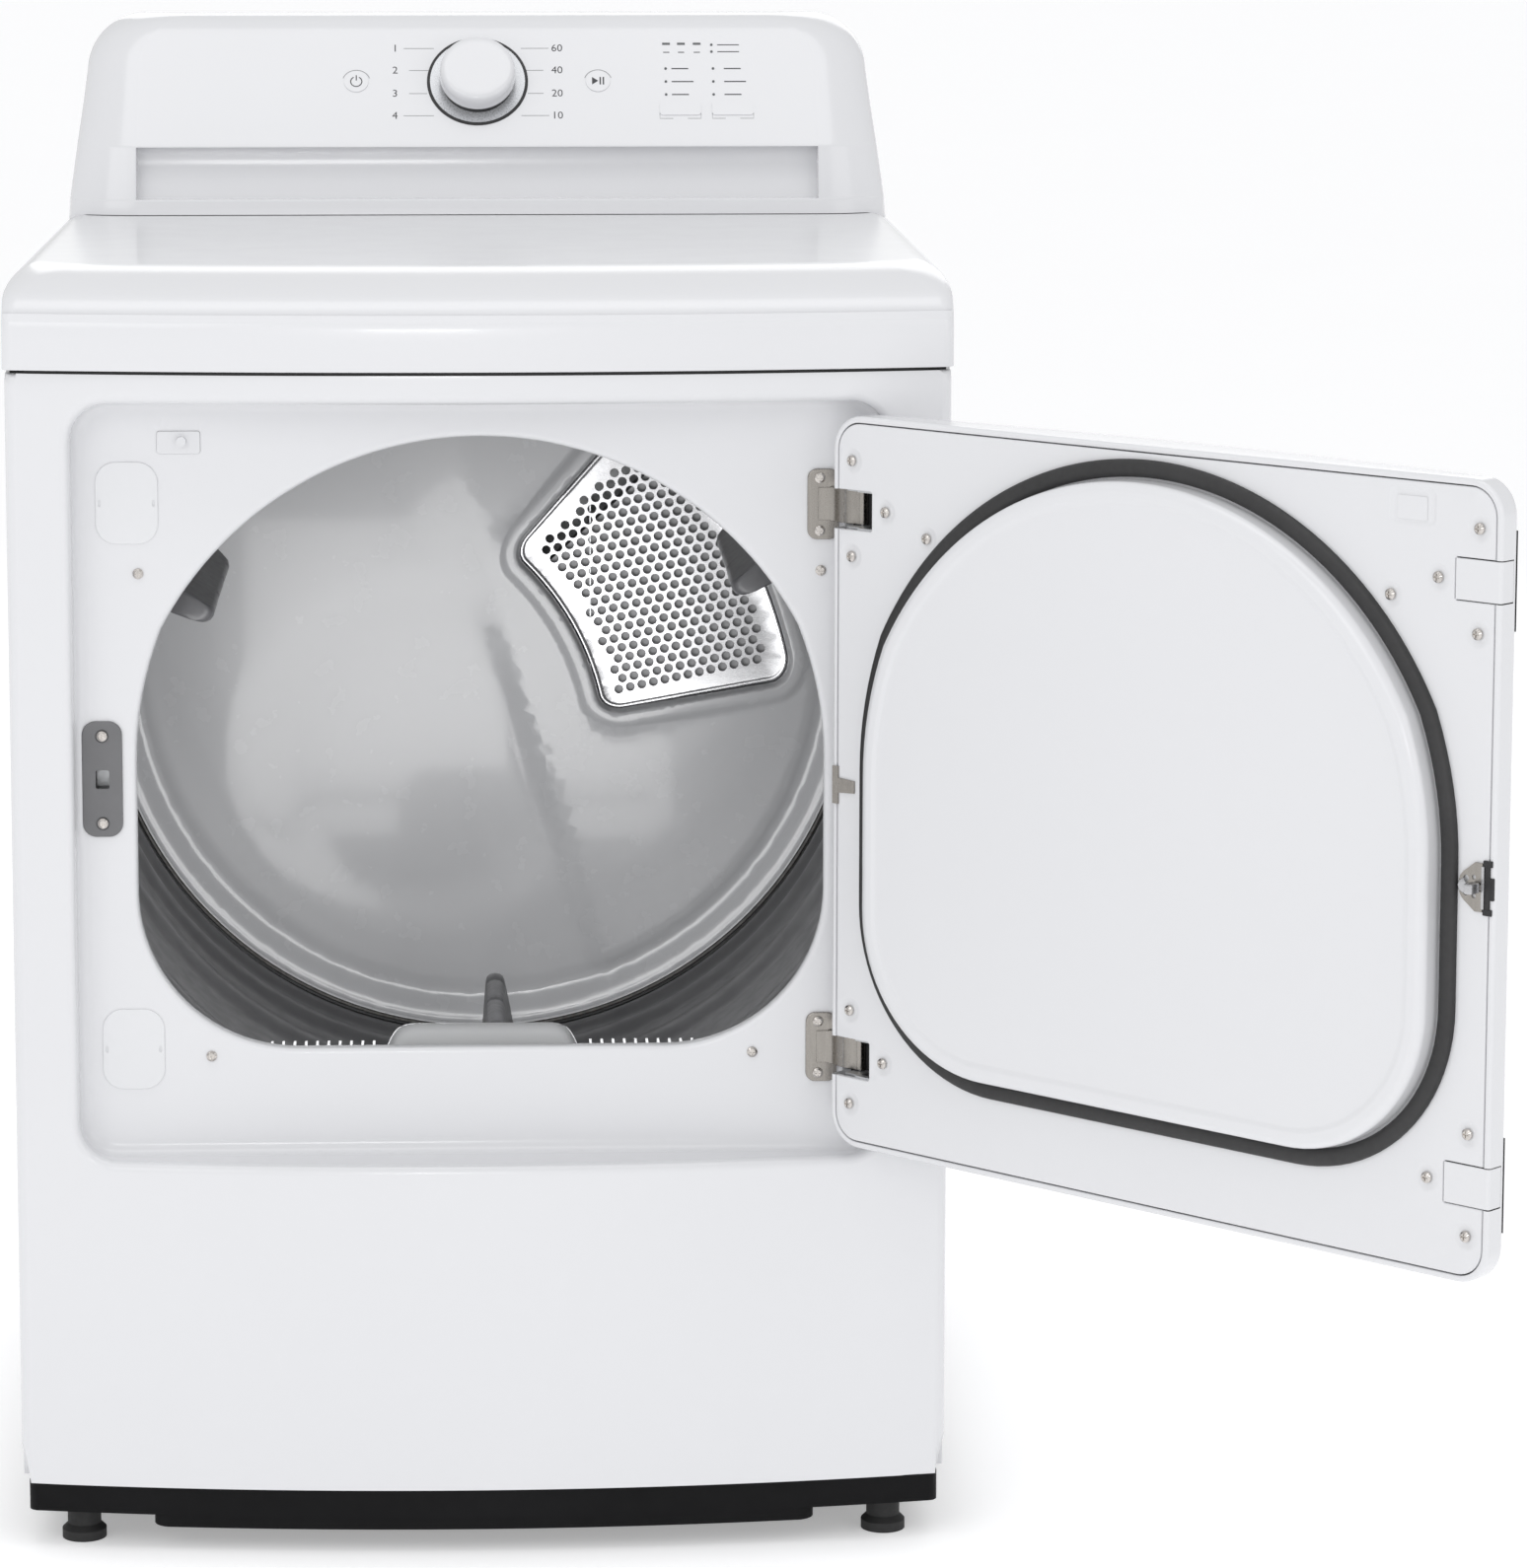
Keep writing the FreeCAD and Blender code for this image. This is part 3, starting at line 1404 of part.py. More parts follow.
def make_door_inner_panel():
    """Flat inner panel with the raised plug that fills the loading opening."""
    back = cell("door_back")
    thick = 2.5
    half = cell("door_half_width") - 7.3
    body = new_body("door_inner_panel")
    pad(body, "XZ_Plane", back - thick, back,
        rounded_box(-half, half, cell("door_bottom") + 7.3, cell("door_top") - 7.3, 18))
    pad(body, "XZ_Plane", back - thick, back + cell("plug_height"), dee(-5))
    pocket(body, "XZ_Plane", back - thick - 1, back + cell("plug_height") - thick, dee(-7.5))
    pad(body, "XZ_Plane", back - 1, back + 0.4, rounded_box(-237.5, -200.5, 813, 835, 2))
    notches = []
    for alias in HINGES:
        height = cell(alias)
        notches.append(hinge_notch(height))
    pocket(body, "XZ_Plane", back - thick - 1, back + 1, *notches)
    pocket(body, "XZ_Plane", back - thick - 1, back + 1, *[circle(x, z, 2.1) for x, z in DOOR_SCREWS])
    return swing(body)


def make_door_seal():
    """Soft seal around the plug, just clear of the frame when the door is shut."""
    back = cell("door_back")
    return swing(prism("door_seal", "XZ_Plane", back + 0.1, cell("recess_floor") - 0.4, dee(9), dee(-3)))


def make_door_strike():
    """Half-round metal plate with the pronged strike."""
    back = cell("door_back")
    body = new_body("door_strike")
    pad(body, "XZ_Plane", back + 0.1, back + 1.3,
        rounded_box(-285.5, -262.5, 561, 589.5, 10))
    pad(body, "XZ_Plane", back + 1, back + 13, rounded_box(-279, -274.6, 571.6, 580.4, 1.5))
    return swing(body)


def make_strike_filler_plug():
    """T-shaped plug in the unused strike place on the hinge side."""
    back = cell("door_back")
    body = new_body("strike_filler_plug")
    pad(body, "XZ_Plane", back + 0.1, back + 1.3, [
        (283.5, 560.6), (289, 560.6), (289, 588.4), (283.5, 588.4),
        (283.5, 580), (268, 579), (268, 570), (283.5, 569),
    ])
    return swing(body)


def make_door_blank_covers():
    """Plastic blanks over the unused hinge pockets on the free side."""
    back = cell("door_back")
    solids = []
    for height in (779.1, 373.0):
        form = new_body("door_blank_form")
        pad(form, "XZ_Plane", back + 0.1, back + 0.9,
            rounded_box(-290, -254.5, height - 13.4, height + 13.4, 2))
        swing(form)
        doc.recompute()
        solids.append(form.Shape.Solids[0].copy())
    return group("door_blank_covers", solids)


def make_door_screws():
    solid = make_screw(5.5)
    pivot = Vector(DIMENSIONS["hinge_x"], DIMENSIONS["hinge_y"], 0)
    solids = []
    for x, z in DOOR_SCREWS:
        copy = placed(solid, x, DIMENSIONS["door_back"], z, flip=True)
        copy.rotate(pivot, Vector(0, 0, 1), DIMENSIONS["door_angle"])
        solids.append(copy)
    return group("door_screws", solids)


# ---------------------------------------------------------------- assembly

def make_leveling_feet():
    foot = make_foot()
    doc.recompute()
    wide, deep = DIMENSIONS["foot_pitch_wide"] / 2, DIMENSIONS["foot_pitch_deep"] / 2
    return group("leveling_feet", [
        placed(foot.Shape.Solids[0], x, y, 0) for x in (-wide, wide) for y in (-deep, deep)
    ])


def build_everything():
    for item in (
        make_base_pan(), make_leveling_feet(),
        make_side_panel("side_panel_left", -1), make_side_panel("side_panel_right", 1),
        make_rear_panel(), make_top_cover(), make_front_panel(), make_front_bulkhead(),
        make_rear_bulkhead(), make_hot_air_grille(), make_heater_duct(), make_heater_coils(),
        make_lint_housing(), make_lint_filter_frame(), make_lint_filter_mesh(),
        make_blower_housing(), make_blower_wheel(), make_exhaust_duct(),
        make_motor(), make_motor_shaft(), make_drum_shell(), make_drum_lifters(),
        make_felt("drum_front_felt", cell("drum_front") - 28, cell("drum_front") - 6, 300.3, 305.6),
        make_felt("drum_rear_felt", 226, 235.5, 314.3, 320.4),
        make_roller_axles(), make_drive_belt(), make_idler_arm(), make_idler_pulley(),
        make_console_shell(), make_console_back(), make_control_board(), make_knob_ring(),
        make_knob(), make_indicator_lenses(), make_hinge_arms(), make_hinge_pins(),
        make_frame_blank_covers(), make_catch_plate(), make_door_catch(), make_cabinet_screws(),
        make_door_switch_housing(), make_door_switch_plunger(),
        make_terminal_block(), make_terminal_cover(),
        make_door_outer_panel(), make_door_inner_panel(), make_door_seal(), make_door_strike(),
        make_strike_filler_plug(), make_door_blank_covers(), make_door_hinge_brackets(), make_door_screws(),
    ):
        node(item)
    for place in roller_places():
        node(make_roller(*place))
    for key in KEYS:
        node(make_key(key))


build_everything()
doc.recompute()

faults = [item.Name for item in doc.Objects if "Invalid" in item.State or "Error" in item.State]
for item in NODES:
    if item.Shape.isNull() or not item.Shape.isValid() or not item.Shape.Solids:
        faults.append(f"{item.Label}: shape")
for item in doc.Objects:
    if item.TypeId == "PartDesign::Pocket" and item.BaseFeature is not None:
        if item.BaseFeature.Shape.Volume - item.Shape.Volume < 1e-3:
            faults.append(f"{item.Name}: cuts nothing")
if faults:
    raise SystemExit("faulty objects: " + ", ".join(faults))

os.makedirs("parts", exist_ok=True)
for item in NODES:
    item.Shape.exportStep(f"parts/{item.Label}.step")
print(f"{len(NODES)} nodes written")
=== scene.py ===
import json
import math

import bmesh
import bpy
import numpy as np
from mathutils import Matrix, Vector
from mathutils.geometry import delaunay_2d_cdt


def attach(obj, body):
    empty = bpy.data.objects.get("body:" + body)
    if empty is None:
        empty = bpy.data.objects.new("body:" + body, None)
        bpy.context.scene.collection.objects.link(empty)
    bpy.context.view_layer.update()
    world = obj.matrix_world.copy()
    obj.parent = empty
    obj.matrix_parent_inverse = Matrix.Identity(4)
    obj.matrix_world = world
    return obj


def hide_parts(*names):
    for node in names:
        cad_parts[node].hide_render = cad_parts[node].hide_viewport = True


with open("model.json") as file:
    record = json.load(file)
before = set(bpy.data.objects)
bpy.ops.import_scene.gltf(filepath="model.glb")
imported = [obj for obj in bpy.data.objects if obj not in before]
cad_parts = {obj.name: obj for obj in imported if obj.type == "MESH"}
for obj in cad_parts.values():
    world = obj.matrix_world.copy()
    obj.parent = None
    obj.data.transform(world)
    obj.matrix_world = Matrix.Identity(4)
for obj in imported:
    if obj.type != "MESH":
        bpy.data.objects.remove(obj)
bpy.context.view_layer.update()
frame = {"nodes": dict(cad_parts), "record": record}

MM = 0.001

# ------------------------------------------------------------------ sizes, millimetres, the frame's own axes

HALF, FRONT, BOW = 343.0, -350.0, 29.0
SIDE_BEND = 8.0
PANEL_BOTTOM, SEAM = 49.5, 877.5
COVER_TOP, COVER_BACK = 950.0, 348.0
CONSOLE_TOP, CONSOLE_BACK = 1111.0, 344.0
RECESS_FLOOR = -332.5
DRUM_AXIS = 576.0
REAR_WALL = 245.0
HINGE = (277.9, -356.8)
DOOR_ANGLE = 134.8
DOOR_BACK = -338.2
FACE_TILT = math.radians(33.0)
FACE_CENTRE = (236.0, 1057.0)


def bow_radius(half, bow):
    return (half * half + bow * bow) / (2 * bow)


BOW_R = bow_radius(HALF - SIDE_BEND, BOW)


def front_y(x):
    """The bowed front surface at a distance from the middle."""
    x = min(abs(x), HALF - SIDE_BEND)
    return FRONT - BOW + BOW_R - math.sqrt(BOW_R * BOW_R - x * x)


# ------------------------------------------------------------------ outlines, as lists of (x, z)

def arc(cx, cz, radius, start, stop, count):
    """Points along a circular arc, angles in degrees."""
    turns = [math.radians(start + (stop - start) * step / count) for step in range(count + 1)]
    return [(cx + radius * math.cos(t), cz + radius * math.sin(t)) for t in turns]


def circle(cx, cz, radius, count):
    turns = [2 * math.pi * k / count for k in range(count)]
    return [(cx + radius * math.cos(t), cz + radius * math.sin(t)) for t in turns]


def bend(*turns):
    """(1 - cos, 1 - sin) at angles in degrees round a bend of radius 1."""
    return [(1 - math.cos(math.radians(t)), 1 - math.sin(math.radians(t))) for t in turns]


def bezier(a, b, c, steps):
    """Points along a quadratic curve, both ends included."""
    return [tuple(p * (1 - t) ** 2 + q * 2 * t * (1 - t) + r * t * t for p, q, r in zip(a, b, c))
            for t in (k / steps for k in range(steps + 1))]


def rounded(x0, x1, z0, z1, radius, count=8):
    """Rectangle with four round corners, anticlockwise."""
    corners = ((x1 - radius, z0 + radius, -90), (x1 - radius, z1 - radius, 0),
               (x0 + radius, z1 - radius, 90), (x0 + radius, z0 + radius, 180))
    return [spot for cx, cz, start in corners for spot in arc(cx, cz, radius, start, start + 90, count)]


def divided(outline, length):
    """Closed outline with its long sides cut into equal runs."""
    spots = []
    for step, (x, z) in enumerate(outline):
        ax, az = outline[(step + 1) % len(outline)]
        pieces = max(1, int(math.hypot(ax - x, az - z) / length))
        spots += [(x + (ax - x) * k / pieces, z + (az - z) * k / pieces) for k in range(pieces)]
    return spots


def dee(offset):
    """Loading opening: flat foot, round lower corners, arched crown eased into the sides."""
    half, foot, corner, crown = 252.0 + offset, 373.6 - offset, 117.0 + offset, 263.3 + offset
    middle, ease = 564.0, 11.0
    lean = math.degrees(math.acos(half / crown))
    low = middle + crown * math.sin(math.radians(lean)) - 52.0
    end = arc(0, middle, crown, lean + ease, 90, 1)[0]
    side = bezier((half, low), (half, low + 50.0), end, 8)
    return (arc(half - corner, foot + corner, corner, -90, 0, 22) + side
            + arc(0, middle, crown, lean + ease, 180 - lean - ease, 66)[1:-1]
            + [(-x, z) for x, z in reversed(side)]
            + arc(-half + corner, foot + corner, corner, 180, 270, 22))


def rays(outline, centre, angles):
    """Points where rays from a centre meet a closed outline, one for each angle."""
    ring = np.array(outline) - np.array(centre)
    span = np.roll(ring, -1, axis=0) - ring
    found = []
    for angle in angles:
        way = np.array((math.cos(angle), math.sin(angle)))
        cross = span[:, 0] * way[1] - span[:, 1] * way[0]
        cross[np.abs(cross) < 1e-9] = 1e-9
        along = (ring[:, 1] * way[0] - ring[:, 0] * way[1]) / cross
        reach = (ring + span * along[:, None]) @ way
        best = reach[(along >= -1e-6) & (along <= 1 + 1e-6) & (reach > 0)].max()
        found.append((centre[0] + way[0] * best, centre[1] + way[1] * best))
    return found


FAN_CENTRE = (-124.0, 490.5)
FAN_MIDDLE = 310.5


def fan(grow):
    """Hot air grille outline: a ring sector with round corners."""
    low, high = math.radians(9.7) * FAN_MIDDLE, math.radians(48.6) * FAN_MIDDLE
    plain = rounded(231.0 - grow, 390.0 + grow, low - grow, high + grow, 17.0 + grow, 8)
    return [(FAN_CENTRE[0] + r * math.cos(b / FAN_MIDDLE), FAN_CENTRE[1] + r * math.sin(b / FAN_MIDDLE))
            for r, b in divided(plain, 4)]


def inside(points, outline):
    """Which of many points lie in a closed outline."""
    x, z = points[:, 0], points[:, 1]
    hit = np.zeros(len(points), dtype=bool)
    edge = np.asarray(outline)
    for (ax, az), (bx, bz) in zip(edge, np.roll(edge, 1, axis=0)):
        if az != bz:
            hit ^= ((az > z) != (bz > z)) & (x < (bx - ax) * (z - az) / (bz - az) + ax)
    return hit


# ------------------------------------------------------------------ mesh building

def flat_region(outlines, extra=()):
    """Points and triangles of a plane region: the first outline is its edge, the others are holes."""
    spots, edges = [], []
    for outline in outlines:
        start = len(spots)
        spots += [Vector(p) for p in outline]
        edges += [(start + k, start + (k + 1) % len(outline)) for k in range(len(outline))]
    spots += [Vector(p) for p in extra]
    found, _, triangles, _, _, _ = delaunay_2d_cdt(spots, edges, [], 1, 1e-6)
    flat = np.array([(p.x, p.y) for p in found])
    middles = np.array([flat[list(t)].mean(axis=0) for t in triangles])
    good = inside(middles, outlines[0])
    for hole in outlines[1:]:
        good &= ~inside(middles, hole)
    return flat, [t for t, ok in zip(triangles, good) if ok]


class Build:
    """Collects points and faces; a depth is a y, or gives one from x."""

    def __init__(self):
        self.verts = []
        self.faces = []

    def loop(self, spots):
        start = len(self.verts)
        self.verts += [tuple(s) for s in spots]
        return list(range(start, len(self.verts)))

    def level(self, outline, depth):
        return self.loop([(x, depth(x) if callable(depth) else depth, z) for x, z in outline])

    def plan(self, loop):
        return [(self.verts[k][0], self.verts[k][2]) for k in loop]

    def band(self, first, second, closed=True):
        count = len(first)
        for step in range(count if closed else count - 1):
            after = (step + 1) % count
            self.faces.append((first[step], first[after], second[after], second[step]))

    def skin(self, loops, closed=True):
        for first, second in zip(loops, loops[1:]):
            self.band(first, second, closed)

    def cap(self, loop):
        self.faces.append(tuple(loop))

    def wall(self, outline, *depths):
        """Straight wall along an outline; gives its last loop."""
        loops = [self.level(outline, depth) for depth in depths]
        self.skin(loops)
        return loops[-1]

    def merge(self, verts, faces):
        start = len(self.verts)
        self.verts += verts
        self.faces += [tuple(start + k for k in face) for face in faces]

    def sheet(self, outlines, depth, extra=()):
        flat, faces = flat_region(outlines, extra)
        self.merge([(x, depth(x) if callable(depth) else depth, z) for x, z in flat], faces)

    def pad(self, box, radius, count, steps):
        """Wall of a low plate with a rounded edge, from (inset, y) steps; gives its crest."""
        x0, x1, z0, z1 = box
        rings = [self.level(rounded(x0 + inset, x1 - inset, z0 + inset, z1 - inset, radius - inset, count), y)
                 for inset, y in steps]
        self.skin(rings)
        return rings[-1]

    def bar(self, x0, x1, y0, y1, z0, z1, soft):
        """Block with its six faces joined by small round edges."""
        eased = soft * 0.3
        rings = [self.level(rounded(x0 + inset, x1 - inset, z0 + inset, z1 - inset, soft * 0.6 + 0.1, 3), y)
                 for inset, y in ((soft, y0), (eased, y0 + eased), (0.0, y0 + soft),
                                  (0.0, y1 - soft), (eased, y1 - eased), (soft, y1))]
        self.skin(rings)
        self.cap(rings[0])
        self.cap(rings[-1])


def turned(profile, count, height=0.0):
    """Solid of revolution about a line along +Y, from (along, radius) points; points on the line close it."""
    build = Build()
    loops = [build.level(circle(0.0, 0.0, radius, count), along) if radius > 1e-6
             else build.loop([(0.0, along, 0.0)]) for along, radius in profile]
    build.verts = [(x, y, z + height) for x, y, z in build.verts]
    for first, second in zip(loops, loops[1:]):
        if len(first) == len(second):
            build.band(first, second)
        else:
            tip, ring = (first[0], second) if len(first) == 1 else (second[0], first)
            build.faces += [(tip, ring[(k + 1) % count], ring[k]) for k in range(count)]
    return build


def smooth_profile(points, radius, steps=4):
    """Rounds each inner corner of an open (a, b) line by about a radius."""
    line = [points[0]]
    for before, here, after in zip(points, points[1:], points[2:]):
        a, b, c = Vector(before), Vector(here), Vector(after)
        one, two = a - b, c - b
        cut = min(radius, one.length * 0.45, two.length * 0.45)
        line += bezier(b + one.normalized() * cut, b, b + two.normalized() * cut, steps)
    return line + [points[-1]]


def piece(name, build, slot, body="cabinet", place=None, replaces=(), facing=None, sharp=None, smooth=True,
          gap=0.02, finish=None):
    """A new mesh object from a build, riding on a body; its slot's finish is its material.

    facing is a direction that the faces look along on the whole; closed forms need none.
    """
    form = bmesh.new()
    spots = [form.verts.new([c * MM for c in v]) for v in build.verts]
    for face in build.faces:
        if len(set(face)) > 2:
            try:
                form.faces.new([spots[k] for k in face])
            except ValueError:
                continue
    bmesh.ops.remove_doubles(form, verts=form.verts, dist=gap * MM)
    bmesh.ops.delete(form, geom=[v for v in form.verts if not v.link_faces], context="VERTS")
    bmesh.ops.recalc_face_normals(form, faces=form.faces)
    if facing is not None:
        total = sum((f.normal * f.calc_area() for f in form.faces), Vector((0, 0, 0)))
        if total.dot(Vector(facing)) < 0:
            bmesh.ops.reverse_faces(form, faces=form.faces)
    if place is not None:
        form.transform(place)
    for face in form.faces:
        face.smooth = smooth
    if sharp is not None:
        for edge in form.edges:
            edge.smooth = len(edge.link_faces) != 2 or edge.calc_face_angle(0.0) < math.radians(sharp)
    mesh = bpy.data.meshes.new(name)
    form.to_mesh(mesh)
    form.free()
    thing = bpy.data.objects.new(name, mesh)
    bpy.context.scene.collection.objects.link(thing)
    mesh.materials.append(finish or FINISHES[slot])
    if smooth:
        weigh = thing.modifiers.new("normals", "WEIGHTED_NORMAL")
        weigh.keep_sharp = True
        weigh.weight = 80
    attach(thing, body)
    if replaces:
        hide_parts(*replaces)


# ------------------------------------------------------------------ materials

def add_node(tree, kind, **sockets):
    """A shader node; a socket's value is a constant, or the output linked to it."""
    node = tree.nodes.new("ShaderNode" + kind)
    for label, value in sockets.items():
        socket = node.inputs[label.replace("_", " ")]
        if isinstance(value, bpy.types.NodeSocket):
            tree.links.new(value, socket)
        else:
            socket.default_value = value
    return node


def noise(tree, vector, scale, detail):
    return add_node(tree, "TexNoise", Vector=vector, Scale=scale, Detail=detail, Roughness=0.5).outputs["Fac"]


def finish_of(name, colour, vary, rough, patch, grain, depth=2e-5, strength=0.3, metal=0.0, coat=0.0,
              specular=0.5, stretch=(1, 1, 1)):
    """A finish with faint colour and gloss variation over patches, and a fine grain of a depth in metres."""
    material = bpy.data.materials.new(name)
    material.use_nodes = True
    tree = material.node_tree
    shader = next(n for n in tree.nodes if n.type == "BSDF_PRINCIPLED")
    place = tree.nodes.new("ShaderNodeTexCoord").outputs["Object"]
    vector = add_node(tree, "Mapping", Vector=place, Scale=stretch).outputs["Vector"]
    ramp = add_node(tree, "ValToRGB", Fac=noise(tree, vector, patch, 4.0))
    ramp.color_ramp.interpolation = "EASE"
    for element, position, share in zip(ramp.color_ramp.elements, (0.2, 0.8), (1 - vary, 1 + vary)):
        element.position = position
        element.color = (*(min(c * share, 1.0) for c in colour), 1)
    gloss = tree.nodes.new("ShaderNodeMapRange")
    gloss.interpolation_type = "SMOOTHSTEP"
    for label, value in zip(("From Min", "From Max", "To Min", "To Max"), (0.15, 0.85, *rough)):
        gloss.inputs[label].default_value = value
    tree.links.new(noise(tree, vector, patch * 9, 5.0), gloss.inputs["Value"])
    relief = add_node(tree, "Bump", Strength=strength, Distance=depth, Height=noise(tree, vector, grain, 2.0))
    tree.links.new(ramp.outputs["Color"], shader.inputs["Base Color"])
    tree.links.new(gloss.outputs["Result"], shader.inputs["Roughness"])
    tree.links.new(relief.outputs["Normal"], shader.inputs["Normal"])
    for label, value in (("Metallic", metal), ("Specular IOR Level", specular), ("Coat Weight", coat),
                         ("Coat Roughness", 0.08)):
        shader.inputs[label].default_value = value
    return material


# Each slot's name, colour, colour variation, roughness range, patches per metre, grains per metre, grain depth
# and strength.
FINISHES = {
    "white_steel": finish_of("white_enamelled_steel", (0.745, 0.748, 0.765), 0.006, (0.245, 0.262), 3, 520,
                             1e-5, 0.08, coat=0.3),
    "white_plastic": finish_of("white_gloss_plastic", (0.735, 0.738, 0.755), 0.006, (0.19, 0.205), 4, 1500,
                               1e-5, 0.2, coat=0.3),
    "inner_white": finish_of("inner_white_plastic", (0.75, 0.755, 0.77), 0.01, (0.36, 0.41), 5, 1800, 2e-5, 0.35),
    "black_base": finish_of("black_painted_steel", (0.004, 0.004, 0.0045), 0.25, (0.5, 0.62), 9, 700, 4e-5,
                            specular=0.15),
    "black_rubber": finish_of("black_rubber", (0.018, 0.018, 0.018), 0.2, (0.6, 0.75), 30, 1600, 6e-5),
    "seal_rubber": finish_of("charcoal_seal", (0.030, 0.0295, 0.030), 0.12, (0.5, 0.66), 22, 2200, 5e-5),
    "galvanised": finish_of("galvanised_sheet", (0.60, 0.61, 0.62), 0.10, (0.32, 0.5), 38, 500, 3e-5, metal=0.9),
    "drum_paint": finish_of("grey_drum_paint", (0.046, 0.046, 0.049), 0.08, (0.30, 0.42), 7, 600, 4e-5,
                            coat=0.15),
    "dark_plastic": finish_of("dark_grey_plastic", (0.085, 0.085, 0.09), 0.1, (0.32, 0.42), 16, 1200, 3e-5),
    "grey_enamel": finish_of("light_grey_enamel", (0.56, 0.565, 0.58), 0.012, (0.262, 0.278), 5, 240, 5e-5, 0.25,
                             coat=0.5),
    "stainless": finish_of("brushed_stainless", (0.50, 0.50, 0.51), 0.05, (0.22, 0.34), 24, 130, 3e-5, 0.5,
                           metal=1.0, stretch=(1, 1, 14)),
    "nickel": finish_of("brushed_nickel", (0.33, 0.31, 0.285), 0.06, (0.22, 0.34), 30, 160, 2e-5, 0.4,
                        metal=1.0, stretch=(14, 1, 1)),
    "screw_steel": finish_of("plated_screw", (0.58, 0.55, 0.52), 0.15, (0.18, 0.32), 260, 2200, metal=1.0),
    "steel_shaft": finish_of("ground_steel", (0.55, 0.55, 0.56), 0.05, (0.18, 0.3), 60, 400, metal=1.0,
                             stretch=(1, 12, 1)),
    "grey_plastic": finish_of("light_grey_plastic", (0.52, 0.525, 0.53), 0.03, (0.34, 0.46), 12, 1500, 3e-5),
    "dark_steel": finish_of("grey_catch_plate", (0.17, 0.17, 0.175), 0.06, (0.34, 0.44), 30, 1100, metal=0.4),
    "black_plastic": finish_of("black_plastic", (0.015, 0.015, 0.016), 0.2, (0.4, 0.55), 18, 1500),
    "felt": finish_of("grey_felt", (0.16, 0.155, 0.15), 0.3, (0.85, 0.95), 240, 2600, 3e-4, 0.8, specular=0.2),
    "motor_cast": finish_of("cast_aluminium", (0.5, 0.5, 0.51), 0.08, (0.45, 0.6), 20, 500, 1e-4, metal=0.8),
    "circuit_green": finish_of("green_circuit_board", (0.02, 0.11, 0.05), 0.2, (0.35, 0.5), 90, 900),
    "ceramic": finish_of("ceramic", (0.62, 0.60, 0.55), 0.06, (0.5, 0.65), 40, 900),
    "silver_plastic": finish_of("silver_plastic", (0.60, 0.61, 0.63), 0.02, (0.24, 0.32), 60, 1800, 1e-5,
                                metal=0.35, coat=0.2),
    "lens": finish_of("smoked_lamp", (0.07, 0.075, 0.08), 0.1, (0.15, 0.25), 300, 1200),
    "mesh_fabric": finish_of("filter_screen", (0.35, 0.35, 0.37), 0.3, (0.6, 0.75), 900, 2600, 3e-4, 0.9),
}
INK = finish_of("grey_print", (0.045, 0.045, 0.05), 0.1, (0.45, 0.55), 300, 2500, 1e-5)
PALE_INK = finish_of("pale_print", (0.24, 0.245, 0.25), 0.1, (0.45, 0.55), 300, 2500, 1e-5)
BAFFLE = finish_of("bright_baffle", (0.42, 0.42, 0.43), 0.04, (0.4, 0.55), 30, 700, 4e-5)

for row in frame["record"]["subparts"]:
    node = frame["nodes"].get(row["node"])
    if node is not None:
        node.data.materials.clear()
        node.data.materials.append(FINISHES[row["material_slot"]])


# ------------------------------------------------------------------ floor, light, camera

def make_floor():
    reach = 90.0
    mesh = bpy.data.meshes.new("floor")
    mesh.from_pydata([(-reach, -reach, 0), (reach, -reach, 0), (reach, reach, 0), (-reach, reach, 0)], [],
                     [(0, 1, 2, 3)])
    floor = bpy.data.objects.new("floor", mesh)
    bpy.context.scene.collection.objects.link(floor)
    finish = finish_of("pale_floor", (0.90, 0.90, 0.905), 0.004, (0.65, 0.75), 1.2, 20, 2e-6, specular=0.2)
    shader = next(n for n in finish.node_tree.nodes if n.type == "BSDF_PRINCIPLED")
    shader.inputs["Emission Color"].default_value = (1, 1, 1, 1)
    shader.inputs["Emission Strength"].default_value = 0.33
    mesh.materials.append(finish)


def add_light(name, where, target, wide, tall, power):
    data = bpy.data.lights.new(name, "AREA")
    data.shape = "RECTANGLE"
    data.size, data.size_y = wide, tall
    data.energy = power
    lamp = bpy.data.objects.new(name, data)
    bpy.context.scene.collection.objects.link(lamp)
    lamp.location = where
    lamp.rotation_euler = (Vector(target) - Vector(where)).to_track_quat("-Z", "Y").to_euler()
    return lamp


def make_light():
    world = bpy.data.worlds.new("studio")
    world.use_nodes = True
    sky = world.node_tree.nodes["Background"]
    sky.inputs["Color"].default_value = (0.985, 0.99, 1.0, 1)
    sky.inputs["Strength"].default_value = 0.72
    bpy.context.scene.world = world
    bpy.context.scene.view_settings.view_transform = "Standard"
    add_light("key_softbox", (-2.2, -3.6, 3.0), (0, 0, 0.6), 2.6, 2.0, 24)
    add_light("fill_softbox", (2.8, -3.2, 1.8), (0.1, 0, 0.6), 2.0, 2.0, 10)
    add_light("top_softbox", (0, -0.9, 3.2), (0, -0.1, 0.9), 2.4, 1.0, 12)
    add_light("front_lamp", (-0.25, -4.4, 1.45), (0, 0, 0.62), 0.5, 0.5, 8)
    add_light("back_softbox", (0.5, 4.0, 2.4), (0, 0, 0.6), 3.0, 2.0, 20)
    add_light("drum_lamp", (-0.02, -0.30, 0.47), (-0.03, 0.245, 0.50), 0.4, 0.3, 1.5).visible_camera = False


